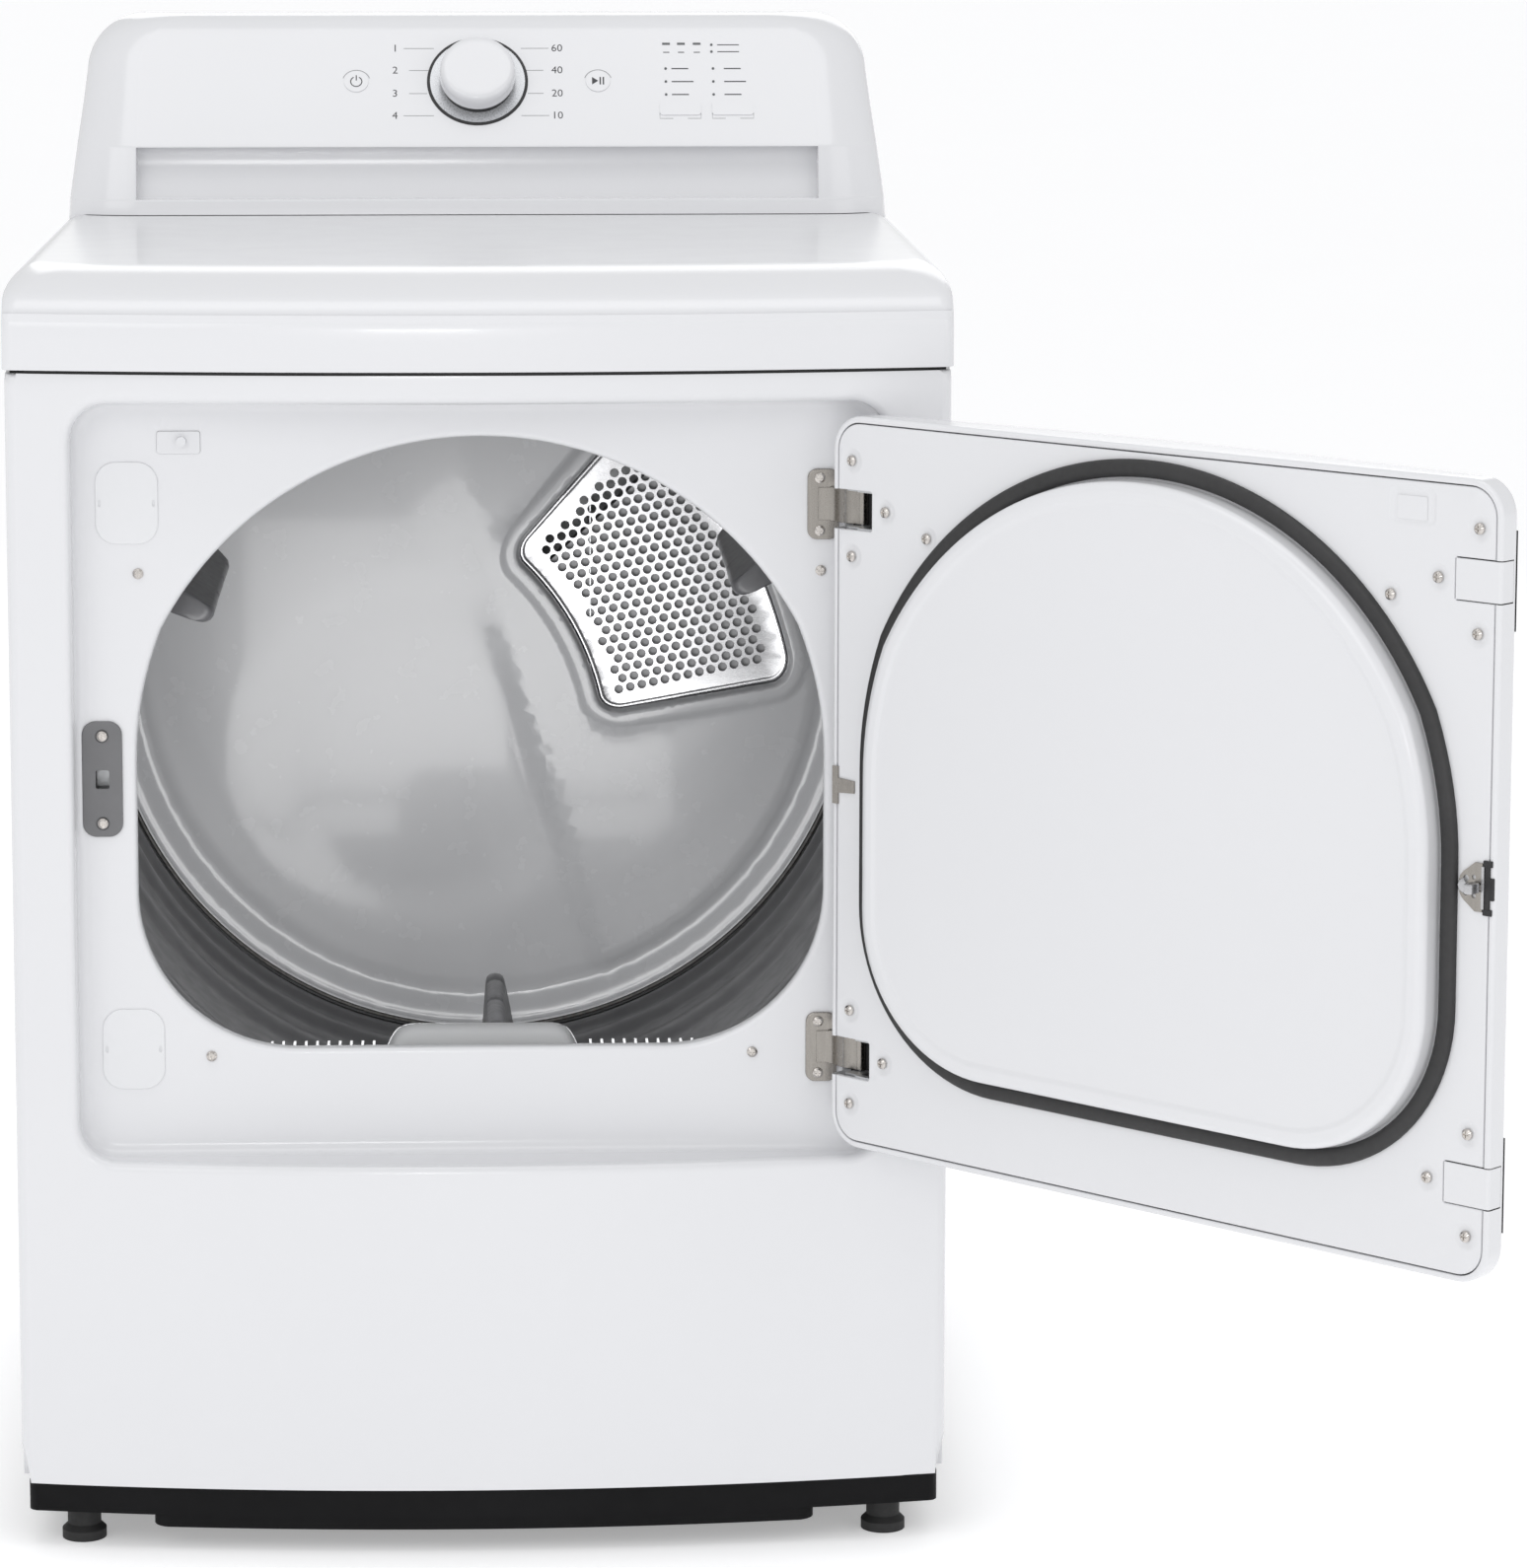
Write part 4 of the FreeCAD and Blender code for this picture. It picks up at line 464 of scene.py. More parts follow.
def make_camera():
    data = bpy.data.cameras.new("camera")
    data.lens = 123.4
    data.sensor_width = 36.0
    data.shift_x, data.shift_y = 0.06, -0.15
    camera = bpy.data.objects.new("camera", data)
    bpy.context.scene.collection.objects.link(camera)
    camera.location = (-0.0014, -4.2198, 1.277)
    pitch, yaw = 0.1361, 0.0359
    aim = Vector((math.sin(yaw) * math.cos(pitch), math.cos(yaw) * math.cos(pitch), -math.sin(pitch)))
    camera.rotation_mode = "QUATERNION"
    camera.rotation_quaternion = aim.to_track_quat("-Z", "Y")
    bpy.context.scene.camera = camera


# ------------------------------------------------------------------ front panel

RECESS = (-296.0, 296.0, 295.0, 855.0)
RECESS_CORNER = 28.0
RECESS_MIDDLE = (0.0, 590.0)
OPENING_LIP = 4.0
RISING, FALLING = (0, 18, 36, 54, 72, 90), (90, 72, 54, 36, 18, 0)


def recess(grow):
    x0, x1, z0, z1 = RECESS
    return rounded(x0 - grow, x1 + grow, z0 - grow, z1 + grow, RECESS_CORNER + grow, 9)


def make_front_panel():
    """Bowed front with the recess and the opening pressed in, every bend rounded."""
    cx, cz = RECESS_MIDDLE
    angles = sorted(math.atan2(z - cz, x - cx) for x, z in divided(recess(0.0), 14))
    build = Build()
    loops = []

    def ring(outline, depth):
        loops.append(build.level(rays(outline, RECESS_MIDDLE, angles), depth))

    for flat, fall in bend(90, 67, 45, 22, 0):
        side, top = HALF - SIDE_BEND * fall, SEAM - 1.0
        edge = [(-side, PANEL_BOTTOM), (side, PANEL_BOTTOM), (side, top), (-side, top)]
        if not loops:
            ring(edge, -327.0)
        ring(edge, lambda x: front_y(x) + SIDE_BEND * flat)
    x0, x1, z0, z1 = RECESS
    mouth, foot = 7.0, 9.0
    ring(rounded(x0 - 28, x1 + 28, z0 - 28, z1 + 17, RECESS_CORNER + 15, 9), front_y)
    ring(recess(mouth + 6.0), front_y)
    for flat, fall in bend(*FALLING):
        ring(recess(mouth * flat), lambda x: front_y(x) + mouth * fall)
    for flat, fall in bend(*RISING):
        ring(recess(-foot * flat), RECESS_FLOOR - foot * fall)
    ring(recess(-foot - 2.0), RECESS_FLOOR)
    build.skin(loops)
    mouth_edge = dee(OPENING_LIP + 1.5)
    catch_slot = rounded(-283.8, -269.8, 569.0, 583.0, 1.0, 2)
    switch_slot = rounded(-234.4, -202.6, 815.6, 832.4, 2.0, 3)
    build.sheet([build.plan(loops[-1]), mouth_edge, catch_slot, switch_slot], RECESS_FLOOR)
    lips = [(OPENING_LIP + 1.5, 0.0)]
    lips += [(OPENING_LIP * fall, OPENING_LIP * flat) for flat, fall in bend(0, 22, 45, 67, 90)]
    lips += [(0.0, 9.0), (1.2, 9.0)]
    build.skin([build.level(dee(offset), RECESS_FLOOR + back) for offset, back in lips])
    for slot in (catch_slot, switch_slot):
        build.wall(slot, RECESS_FLOOR, RECESS_FLOOR + 1.5)
    piece("front_panel_pressing", build, "white_steel", replaces=["front_panel"], facing=(0, -1, 0))


# ------------------------------------------------------------------ top cover

NOSE, CREST, SIDE_ROLL = 34.0, 120.0, 22.0
SHEET_INSET = 1.4


def cover_profile():
    """(height, inset in front, inset at the sides) from the skirt's foot to the flat top."""
    turn = math.radians(30)
    nose_foot = COVER_TOP - CREST * (1 - math.cos(turn)) - NOSE * math.cos(turn)
    steps = [(z, 0.0) for z in (SEAM + 1.5, SEAM + 14, nose_foot - 4)]
    for k in range(1, 9):
        t = math.radians(60 * k / 8)
        steps.append((nose_foot + NOSE * math.sin(t), NOSE * (1 - math.cos(t))))
    for k in range(1, 9):
        t = math.radians(30 - 30 * k / 8)
        steps.append((COVER_TOP - CREST * (1 - math.cos(t)), NOSE / 2 + CREST * (0.5 - math.sin(t))))
    profile = []
    for z, inset in steps:
        rise = max(0.0, z - (COVER_TOP - SIDE_ROLL))
        profile.append((z, inset, SIDE_ROLL - math.sqrt(max(SIDE_ROLL ** 2 - rise ** 2, 0.0))))
    return profile


def cover_plan(front_inset, side_inset, corner):
    """Plan outline at one height, starting at the back left and running round the front."""
    half = HALF + 1.5 - side_inset
    radius = bow_radius(HALF, BOW) + 1.5
    apex = FRONT - BOW - 1.5 + front_inset
    span = half - corner

    def bowed(x):
        return apex + radius - math.sqrt(radius * radius - x * x)

    elbow = bowed(span) + corner
    spots = [(-half, COVER_BACK), (-half, COVER_BACK - 200), (-half, elbow + 60)]
    spots += arc(-span, elbow, corner, 180, 270, 10)
    spots += [(x, bowed(x)) for x in (-span + 2 * span * k / 48 for k in range(1, 48))]
    spots += arc(span, elbow, corner, 270, 360, 10)
    return spots + [(half, elbow + 60), (half, COVER_BACK - 200), (half, COVER_BACK)]


def make_top_cover():
    """Pressed top: deep skirt, long front roll, short side rolls, blended at the corners."""
    build = Build()
    profile = cover_profile()
    low = profile[0][0]
    rows = [(COVER_TOP - 30, SHEET_INSET, SHEET_INSET, 7.0), (low + 0.4, SHEET_INSET, SHEET_INSET, 7.0),
            (low, 0.5, 0.5, 8.0), (low + 0.5, 0.0, 0.0, 8.5)]
    rows += [(z, front, side, 9.0 + front * 0.45) for z, front, side in profile[1:]]
    z, front, side, corner = rows[-1]
    rows.append((z, front + 8, side + 8, corner))
    loops = [build.loop([(x, y, z) for x, y in cover_plan(*insets)]) for z, *insets in rows]
    build.skin(loops)
    build.cap(loops[-1])
    piece("top_cover_pressing", build, "white_steel", replaces=["top_cover"], facing=(0, 0, 1))


# ------------------------------------------------------------------ console

FACE_NORMAL = Vector((0.0, -math.cos(FACE_TILT), math.sin(FACE_TILT)))
FACE_UP = Vector((0.0, math.sin(FACE_TILT), math.cos(FACE_TILT)))
BAND_HALF = 280.0
BAND_LOW, BAND_HIGH = 962.5, 1005.0
SHOULDER, SHOULDER_LOW = 45.0, 1066.0
FLANK_WIDE, FLANK_DEEP = 44.0, 40.0


def on_face(across, up, out=0.0):
    """Point on the control face, measured from the dial's centre."""
    return Vector((across, *FACE_CENTRE)) + FACE_UP * up + FACE_NORMAL * out


def console_half(z):
    """Half width of the console at a height, with a round shoulder at the top."""
    if z >= SHOULDER_LOW:
        rise = min((z - SHOULDER_LOW) / SHOULDER, 1.0)
        return 279.0 + SHOULDER * math.sqrt(max(1.0 - rise * rise, 0.0))
    return float(np.interp(z, (950.0, 975.0, 1007.0, 1038.6, 1066.0), (338.0, 335.0, 330.6, 326.8, 324.0)))


def console_side_view():
    """(y, z) points from the front foot over the face and crown to the back."""
    chin, brow = on_face(0, -61.0), on_face(0, 47.0)
    line = [(191.0, 950.5), (191.6, 955.0), (192.6, 961.0)]
    line += [(191.0 + (chin.y - 191.0) * (z - 950.5) / (chin.z - 950.5), z)
             for z in (BAND_LOW, BAND_LOW + 0.5, 966.0, 971.0, 976.0, 982.0, 988.0, 994.0, 1000.0,
                       BAND_HIGH - 0.5, BAND_HIGH)]
    line += [tuple(on_face(0, -60.0 + 107.0 * k / 27))[1:] for k in range(28)]
    crown = brow.y + 26.0
    line += bezier((brow.y, brow.z), (brow.y + (CONSOLE_TOP - brow.z) * 0.62, CONSOLE_TOP),
                   (crown, CONSOLE_TOP), 8)[1:]
    line += [(crown + (CONSOLE_BACK - 14.0 - crown) * k / 5, CONSOLE_TOP) for k in range(1, 6)]
    line += arc(CONSOLE_BACK - 14.0, CONSOLE_TOP - 14.0, 14.0, 90, 0, 4)[1:]
    return line + [(CONSOLE_BACK, z) for z in (1091.0, 1083.0, 1075.0, 1066.0, 1038.6, 1007.0, 975.0, 951.5)]


def band_depth(z):
    """How far back the scooped band lies at a height."""
    return 206.0 + 9.0 * math.sin(math.pi * 0.62 * (z - BAND_LOW) / (BAND_HIGH - BAND_LOW))


def make_console():
    """Console shell: tilted face, rounded flanks and shoulders, scooped band under the face."""
    line = console_side_view()
    build = Build()
    flat = [-BAND_HALF, -BAND_HALF + 0.6]
    flat += [-BAND_HALF + 6 + (2 * BAND_HALF - 12) * k / 30 for k in range(31)]
    flat += [BAND_HALF - 0.6, BAND_HALF]
    top_row = next(k for k, (_, z) in enumerate(line) if z > CONSOLE_TOP - 0.01)
    rows = []
    for number, (y, z) in enumerate(line):
        edge = console_half(min(z, CONSOLE_TOP))
        flank = min(edge - FLANK_WIDE, BAND_HALF)
        right = []
        for k in range(12, 0, -1):
            turn = k / 12 * math.pi / 2
            x = flank + (edge - flank) * math.sin(turn)
            back = FLANK_DEEP * (1 - math.cos(turn))
            if number > top_row:
                back = max(0.0, line[top_row][0] + back - y)
            foot = 6.0 * max(0.0, (x - 318.0) / 20.0) ** 2 if number < 2 else 0.0
            right.append((x, y + back, z - foot))
        middle = []
        for x in flat:
            x = x * flank / BAND_HALF
            scooped = abs(x) < BAND_HALF - 0.3 and BAND_LOW + 0.1 < z < BAND_HIGH - 0.1 and number <= top_row
            middle.append((x, band_depth(z) if scooped else y, z))
        rows.append(build.loop([(-x, y, z) for x, y, z in right] + middle + right[::-1]))
    build.skin(rows, closed=False)
    for end in (0, -1):
        front = [build.verts[row[end]] for row in rows[:top_row + 1]]
        build.skin([[row[end] for row in rows[:top_row + 1]],
                    build.loop([(x, (y + CONSOLE_BACK) / 2, z) for x, y, z in front]),
                    build.loop([(x, CONSOLE_BACK, z) for x, y, z in front])], closed=False)
    piece("console_moulding", build, "white_plastic", replaces=["console_shell"], facing=(0, -1, 1), sharp=50)


def make_dial():
    """Program dial: thin dark rim, dished silver plate, and the white cap standing over a black neck that paints
    the shade in the gap under it.
    """
    turn = Matrix((Vector((1, 0, 0)), FACE_NORMAL, FACE_UP)).transposed()
    place = Matrix.Translation(on_face(0, 0) * MM) @ turn.to_4x4()
    rim = [(-0.6, 38.9), (0.4, 38.9), (0.9, 39.3), (0.9, 41.3), (0.4, 41.7), (-0.6, 41.7)]
    piece("dial_rim", turned(smooth_profile(rim, 0.3, 2), 96), "black_plastic", place=place)
    plate = [(0.12, 0.0), (0.12, 24), (0.2, 29), (0.35, 33), (0.55, 36.2), (0.75, 38.6), (0.85, 39.0),
             (0.85, 39.2), (-0.5, 39.2), (-0.5, 0.0)]
    piece("dial_plate", turned(plate, 96), "silver_plastic", place=place, replaces=["knob_ring"], sharp=60)
    neck = [(-3.3, 0.0), (-3.3, 28.9), (-2.9, 29.4), (7.4, 29.4), (7.4, 0.0)]
    # painted shade: the neck under the cap is black to stand in for the shade in the undercut gap
    piece("knob_neck_shade", turned(neck, 72), "black_plastic", "program_knob", place, sharp=50)
    cap = [(6.8, 0.0), (6.8, 28.0), (6.9, 30.0), (7.3, 30.7), (8.2, 31.0), (12.0, 31.0), (19.0, 30.7),
           (21.6, 30.0), (23.0, 28.6), (23.7, 26.6), (24.0, 23.0), (24.0, 14.0), (24.0, 0.0)]
    piece("knob_cap", turned(smooth_profile(cap, 0.8, 2), 96), "white_plastic", "program_knob", place, ["knob"],
          sharp=55)


def stroke(width, *points):
    """Flat ribbon along a line on the face, as (across, up) points and faces."""
    left, right = [], []
    for before, here, after in zip(points[:1] + points, points, points[1:] + points[-1:]):
        run = Vector((after[0] - before[0], after[1] - before[1])).normalized()
        side = Vector((-run.y, run.x)) * width / 2
        left.append((here[0] + side.x, here[1] + side.y))
        right.append((here[0] - side.x, here[1] - side.y))
    count = len(points)
    return left + right, [(k, k + 1, count + k + 1, count + k) for k in range(count - 1)]


def numeral(text, across, up, align):
    """Flat mesh of a number, as (across, up) points and faces."""
    curve = bpy.data.curves.new("numeral", "FONT")
    curve.body = text
    curve.size = 9.6
    curve.align_x, curve.align_y = align, "CENTER"
    curve.resolution_u = 3
    shape = bpy.data.objects.new("numeral", curve)
    bpy.context.scene.collection.objects.link(shape)
    bpy.context.view_layer.update()
    graph = bpy.context.evaluated_depsgraph_get()
    mesh = bpy.data.meshes.new_from_object(shape.evaluated_get(graph), depsgraph=graph)
    verts = [(across + v.co.x, up + v.co.y) for v in mesh.vertices]
    faces = [tuple(p.vertices) for p in mesh.polygons]
    bpy.data.objects.remove(shape)
    bpy.data.meshes.remove(mesh)
    return verts, faces


def print_on_face(name, shapes, finish, key=None, body="cabinet"):
    """A printed layer: thin flat shapes just proud of the control face, or of a key on it."""
    height = 0.06
    if key:
        height += max((v.co / MM - on_face(0, 0)).dot(FACE_NORMAL) for v in frame["nodes"][key].data.vertices)
    build = Build()
    for verts, faces in shapes:
        build.merge([tuple(on_face(a, u, height)) for a, u in verts], faces)
    piece(name, build, None, body, facing=tuple(FACE_NORMAL), smooth=False, gap=0.001, finish=finish)


def make_print():
    """Numbers, leader lines and plain signs, in place of the words on the panel."""
    dark, pale = [], []
    for left, right, up, far, near in (("1", "60", 31.5, 55.0, 34.5), ("2", "40", 10.5, 50.5, 39.0),
                                       ("3", "20", -11.5, 50.5, 40.0), ("4", "10", -32.5, 55.0, 34.5)):
        pale.append(stroke(0.55, (-far - 6, up), (-near - 1.5, up)))
        pale.append(stroke(0.55, (near + 1.5, up), (far + 4, up)))
        dark.append(numeral(left, -68.0, up, "CENTER"))
        dark.append(numeral(right, 61.0, up, "LEFT"))
    power = [stroke(0.9, *arc(-100.0, -0.4, 4.6, 62, -242, 32)), stroke(0.9, (-100.0, 0.6), (-100.0, 5.6))]
    start = [([(94.6, -3.6), (99.8, 0.0), (94.6, 3.6)], [(0, 1, 2)])]
    start += [stroke(1.2, (across, -3.6), (across, 3.6)) for across in (101.4, 104.0)]
    print_on_face("power_sign", power, INK, "button_power", "power_key")
    print_on_face("start_sign", start, INK, "button_start", "start_key")
    pale += [stroke(0.6, *arc(across, -0.8, 11.6, 20, 160, 24)) for across in (-100.0, 99.5)]
    for low in (160.5, 204.0):
        dark += [stroke(1.1, (low, up), (low + long, up)) for up, long in ((11.9, 14), (-0.5, 18), (-12.8, 14))]
    for across in (167.2, 210.5):
        dark.append(stroke(1.5, (across - 9, -24.6), (across + 9, -24.6)))
        pale.append(stroke(0.5, (across - 17, -30.5), (across - 17, -35.5), (across - 6, -35.5)))
        pale.append(stroke(0.5, (across + 6, -35.5), (across + 17, -35.5), (across + 17, -30.5)))
    dark += [stroke(0.9, (across - 2.6, 27.5), (across + 2.6, 27.5)) for across in (156.5, 168.8, 181.9)]
    dark += [stroke(0.9, (199.0, up), (217.0, up)) for up in (34.6, 28.0)]
    print_on_face("panel_print_dark", dark, INK)
    print_on_face("panel_print_pale", pale, PALE_INK)


# ------------------------------------------------------------------ drum and back wall

RIM = 311.5
DISH_CENTRE, DISH_RADIUS = (-52.0, 486.0), 135.0
CREASE_TOP, CREASE_FOOT = np.array((-17.0, 754.0)), np.array((91.0, 357.0))
DRUM_RADIUS = 320.8
DRUM_TURN = 2.6
VANE_CREST, VANE_ROOT = 225.4, 319.0


def ramp(value, low, high):
    """Smooth step from 0 to 1."""
    t = np.clip((value - low) / (high - low), 0.0, 1.0)
    return t * t * (3 - 2 * t)


def fan_distance(points):
    """Signed distance in mm from the grille outline, positive outside."""
    edge = np.array(fan(0.0))
    best = np.full(len(points), 1e9)
    for a, b in zip(edge, np.roll(edge, -1, axis=0)):
        run = b - a
        t = np.clip(((points - a) @ run) / (run @ run), 0, 1)
        best = np.minimum(best, np.linalg.norm(points - (a + t[:, None] * run), axis=1))
    return np.where(inside(points, edge), -best, best)


def wall_rise(points):
    """How far the pressed back wall stands forward of its plane, in mm."""
    x, z = points[:, 0], points[:, 1]
    radius = np.hypot(x, z - DRUM_AXIS)
    dish = np.hypot(x - DISH_CENTRE[0], z - DISH_CENTRE[1])
    run = (CREASE_FOOT - CREASE_TOP) / np.linalg.norm(CREASE_FOOT - CREASE_TOP)
    across = (x - CREASE_TOP[0]) * -run[1] + (z - CREASE_TOP[1]) * run[0]
    share = np.clip((z - CREASE_FOOT[1]) / (CREASE_TOP[1] - CREASE_FOOT[1]), 0, 1.3)
    shelf = np.clip(1 + across / (16 + 50 * share), 0, 1) ** 2
    gap = fan_distance(points)
    rise = 4.0 + 4.5 * shelf
    rise -= 3.0 * (1 - ramp(dish, DISH_RADIUS - 34, DISH_RADIUS + 30)) * (1 - ramp(shelf, 0.0, 0.8))
    rise += 4.0 * (1 - ramp(gap, 12, 21)) * np.where(gap > -30, 1, 0)
    rise -= 9.0 * (1 - ramp(gap, 1.0, 5.5))
    rise *= 1 - ramp(radius, 276, 296)
    return rise + 13.0 * ramp(radius, 286, 309)


def make_back_wall():
    """Enamelled back of the drum: shallow dish, soft crease, raised grille border and rolled rim."""
    outer = circle(0, DRUM_AXIS, RIM, 180)
    lines = [circle(0, DRUM_AXIS, radius, 180) for radius in (308.5, 305, 301, 297, 293, 289, 284, 278, 272)]
    lines += [fan(grow) for grow in (2.6, 3.6, 4.8, 6.2, 9.0, 12.0, 14.5, 17.0, 19.5, 22.0)]
    lines += [circle(*DISH_CENTRE, radius, 110) for radius in (106, 116, 126, 136, 146, 156, 166)]
    top, foot = np.array((-45.0, 857.0)), np.array((121.0, 247.0))
    lines.append([top + (foot - top) * k / 90 for k in range(91)])
    lined = np.concatenate(lines)
    step = 8.0
    grid = np.array([(x, z) for x in np.arange(-270, 271, step) for z in np.arange(306, 847, step)])
    near = np.array([np.min(np.abs(lined - spot).max(axis=1)) for spot in grid])
    points = np.concatenate([lined, grid[near > step * 0.6]])
    points = points[np.hypot(points[:, 0], points[:, 1] - DRUM_AXIS) < RIM - 1.0]
    points = points[~inside(points, fan(2.4))]
    apart = {}
    for x, z in points:
        apart.setdefault((round(x / 1.2), round(z / 1.2)), (x, z))
    build = Build()
    mouth = fan(1.6)
    flat, faces = flat_region([outer, mouth], list(apart.values()))
    build.merge([(x, REAR_WALL - r, z) for (x, z), r in zip(flat, wall_rise(flat))], faces)
    build.skin([build.level(circle(0, DRUM_AXIS, RIM + out, 180), REAR_WALL - rise)
                for rise, out in ((13.0, 0.0), (15.5, 0.2), (17.5, 0.9), (18.6, 1.9), (17.6, 2.5), (0.0, 2.5))])
    build.skin([build.loop([(x, REAR_WALL - r, z) for (x, z), r in zip(mouth, wall_rise(np.array(mouth)))]),
                build.level(mouth, REAR_WALL - 0.3)])
    bulkhead = [(-340, 53.5), (-130, 53.5), (-130, 175), (130, 175), (130, 53.5), (340, 53.5),
                (340, 938), (-340, 938)]
    build.sheet([bulkhead, circle(0, DRUM_AXIS, RIM + 2.5, 180)], REAR_WALL)
    piece("drum_back_wall", build, "grey_enamel", replaces=["rear_bulkhead"], facing=(0, -1, 0), gap=0.05)


def hole_places(outline, pitch, lean):
    """Hexagonal rows of points in an outline; the rows climb to the right."""
    cos, sin = math.cos(math.radians(lean)), math.sin(math.radians(lean))
    spots = []
    for row in range(-40, 41):
        b = row * pitch * math.sqrt(3) / 2
        for place in range(-40, 41):
            a = (place + 0.5 * (row % 2)) * pitch
            spots.append((150 + a * cos - b * sin, 650 + a * sin + b * cos))
    spots = np.array(spots)
    return spots[inside(spots, outline)]


def make_grille():
    """Perforated stainless plate with a rolled edge, over a pale baffle set back behind it."""
    face = REAR_WALL - 1.3
    sides, radius = 16, 3.85
    centres = hole_places(fan(-15.0), 9.9, 12.0)
    build = Build()
    build.skin([build.level(fan(grow), face + back) for grow, back in (
        (1.2, 0.9), (1.1, -0.4), (0.5, -1.1), (-0.6, -1.3), (-2.0, -0.9), (-3.4, 0.0))])
    build.sheet([fan(-3.4)] + [circle(x, z, radius, sides) for x, z in centres], face)
    for x, z in centres:
        build.skin([build.level(circle(x, z, radius - less, sides), face + back)
                    for less, back in ((0.0, 0.0), (0.15, 0.3), (0.15, 1.1))])
    piece("grille_plate", build, "stainless", replaces=["hot_air_grille"], facing=(0, -1, 0), sharp=40)
    build = Build()
    rows = []
    for angle in np.radians(np.linspace(8.5, 42.0, 12)):
        rows.append(build.level([(FAN_CENTRE[0] + r * math.cos(angle), FAN_CENTRE[1] + r * math.sin(angle))
                                 for r in (232, 260, 300, 340, 380, 390)], REAR_WALL + 4.6))
    rows.append(build.level(build.plan(rows[-1]), REAR_WALL + 30))
    build.skin(rows, closed=False)
    piece("grille_baffle", build, "galvanised", facing=(0, -1, 0), sharp=30, finish=BAFFLE)


def bead(y, front, crest, back, high):
    """Asymmetric rib: rises from its front foot to the crest and falls to its back foot."""
    t = float(np.interp(y, (front, crest, back), (0.0, 1.0, 0.0)))
    return high * t * t * (3 - 2 * t)


def make_drum():
    """Drum wall with rolled ribs on both sides of the belt track."""
    ribs = ((20, 60, 100, 5.0), (114, 148, 178, 5.5), (180, 205, 229, 5.0),
            (-130, -90, -50, 5.0), (-208, -178, -144, 5.5))
    profile = [(-270.0, 300.5), (-240.5, 300.5), (-238.5, 304.0), (-238.0, DRUM_RADIUS - 4.0),
               (-236.0, DRUM_RADIUS - 0.8)]
    profile += [(y, DRUM_RADIUS - sum(bead(y, *rib) for rib in ribs)) for y in range(-234, 235, 2)]
    profile += [(235.6, DRUM_RADIUS), (236.0, DRUM_RADIUS + 0.6), (236.0, DRUM_RADIUS + 1.2),
                (-239.0, DRUM_RADIUS + 1.2), (-240.0, DRUM_RADIUS), (-240.0, 307.5), (-270.0, 307.2),
                (-270.0, 300.5)]
    piece("drum_wall", turned(profile, 220, DRUM_AXIS), "drum_paint", "drum", replaces=["drum_shell"], sharp=60)


def make_lifters():
    """Three tall vanes with rounded crests, stepped in three places and sloping down at the back."""
    build = Build()
    steps = [(-236.5, 24.0), (-234.5, 9.0), (-229.0, 2.5), (-221.0, 0.0)]
    for flute in (-150.0, -66.0, 6.0):
        steps += [(flute - 4.0, 0.0), (flute, 2.6), (flute + 3.0, 2.8), (flute + 8.0, 0.4)]
    steps += [(22.0, 0.0), (32.0, 1.0), (44.0, 6.0), (60.0, 15.5), (80.0, 31.0), (98.0, 49.0), (112.0, 67.0),
              (122.0, 82.0), (128.0, 92.5)]
    for number in range(3):
        turn = math.radians(-90 + DRUM_TURN + 120 * number)
        out = Vector((math.cos(turn), 0, math.sin(turn)))
        side = Vector((-math.sin(turn), 0, math.cos(turn)))
        rows = []
        for y, drop in steps:
            low = min(VANE_CREST + drop, VANE_ROOT - 1.0)
            half = 7.2 + 9.6 * (low - VANE_CREST) / (VANE_ROOT - VANE_CREST)
            end = 0.72 if y in (steps[0][0], steps[-1][0]) else 1.0
            soft = min(5.5, (VANE_ROOT - low) * 0.4)
            flank = [(VANE_ROOT, 17.0), (VANE_ROOT - 6, 16.0), ((low + VANE_ROOT) / 2, (half + 16.5) / 2)]
            section = [(r, -s) for r, s in flank]
            section += [(low + soft - soft * math.sin(t), half * math.cos(t))
                        for t in (math.radians(180 - 30 * k) for k in range(7))]
            section += flank[::-1]
            rows.append(build.loop([tuple(out * r + side * s * end + Vector((0, y, DRUM_AXIS)))
                                    for r, s in section]))
        build.skin(rows)
        build.cap(rows[0])
        build.cap(rows[-1])
    piece("drum_vanes", build, "dark_plastic", "drum", replaces=["drum_lifters"], sharp=48)


def make_felt():
    """Felt ring that closes the gap at the back of the drum."""
    profile = [(236.5, 314.4), (229.5, 314.5), (227.6, 315.2), (227.4, 316.4), (229.0, 317.6), (236.5, 318.6),
               (236.5, 314.4)]
    piece("rear_felt_ring", turned(profile, 200, DRUM_AXIS), "felt", replaces=["drum_rear_felt"])


# ------------------------------------------------------------------ door

DOOR_HALF, DOOR_LOW, DOOR_HIGH, DOOR_CORNER = 290.5, 306.0, 846.0, 25.0
DOOR_PROUD = 1.5
PLUG, PLUG_BEND = 20.0, 7.0
HEM = 4.5
PIVOT = Vector((*HINGE, 0.0)) * MM
SWING = (Matrix.Translation(PIVOT) @ Matrix.Rotation(math.radians(DOOR_ANGLE), 4, "Z")
         @ Matrix.Translation(-PIVOT))
HINGE_HEIGHTS = (777.5, 372.5)
BLANK_HEIGHTS = (779.1, 373.0)
POCKET_HALF, POCKET_DEEP = 14.5, 37.0
SCREW_SPOTS = [(side * x, DRUM_AXIS + lift) for side in (-1, 1)
               for x, lift in ((272.5, 237.5), (240.5, 202.6), (272.5, 167.8),
                               (272.5, -237.5), (240.5, -202.6), (272.5, -167.8))]
SCREW_SPOTS += [(201.5, 763.0), (-202.5, 763.5)]


def door_piece(name, build, slot, **more):
    piece(name, build, slot, "door", SWING, **more)


def door_face(x):
    """Outer face of the door at a distance from its middle."""
    return front_y(x) - DOOR_PROUD


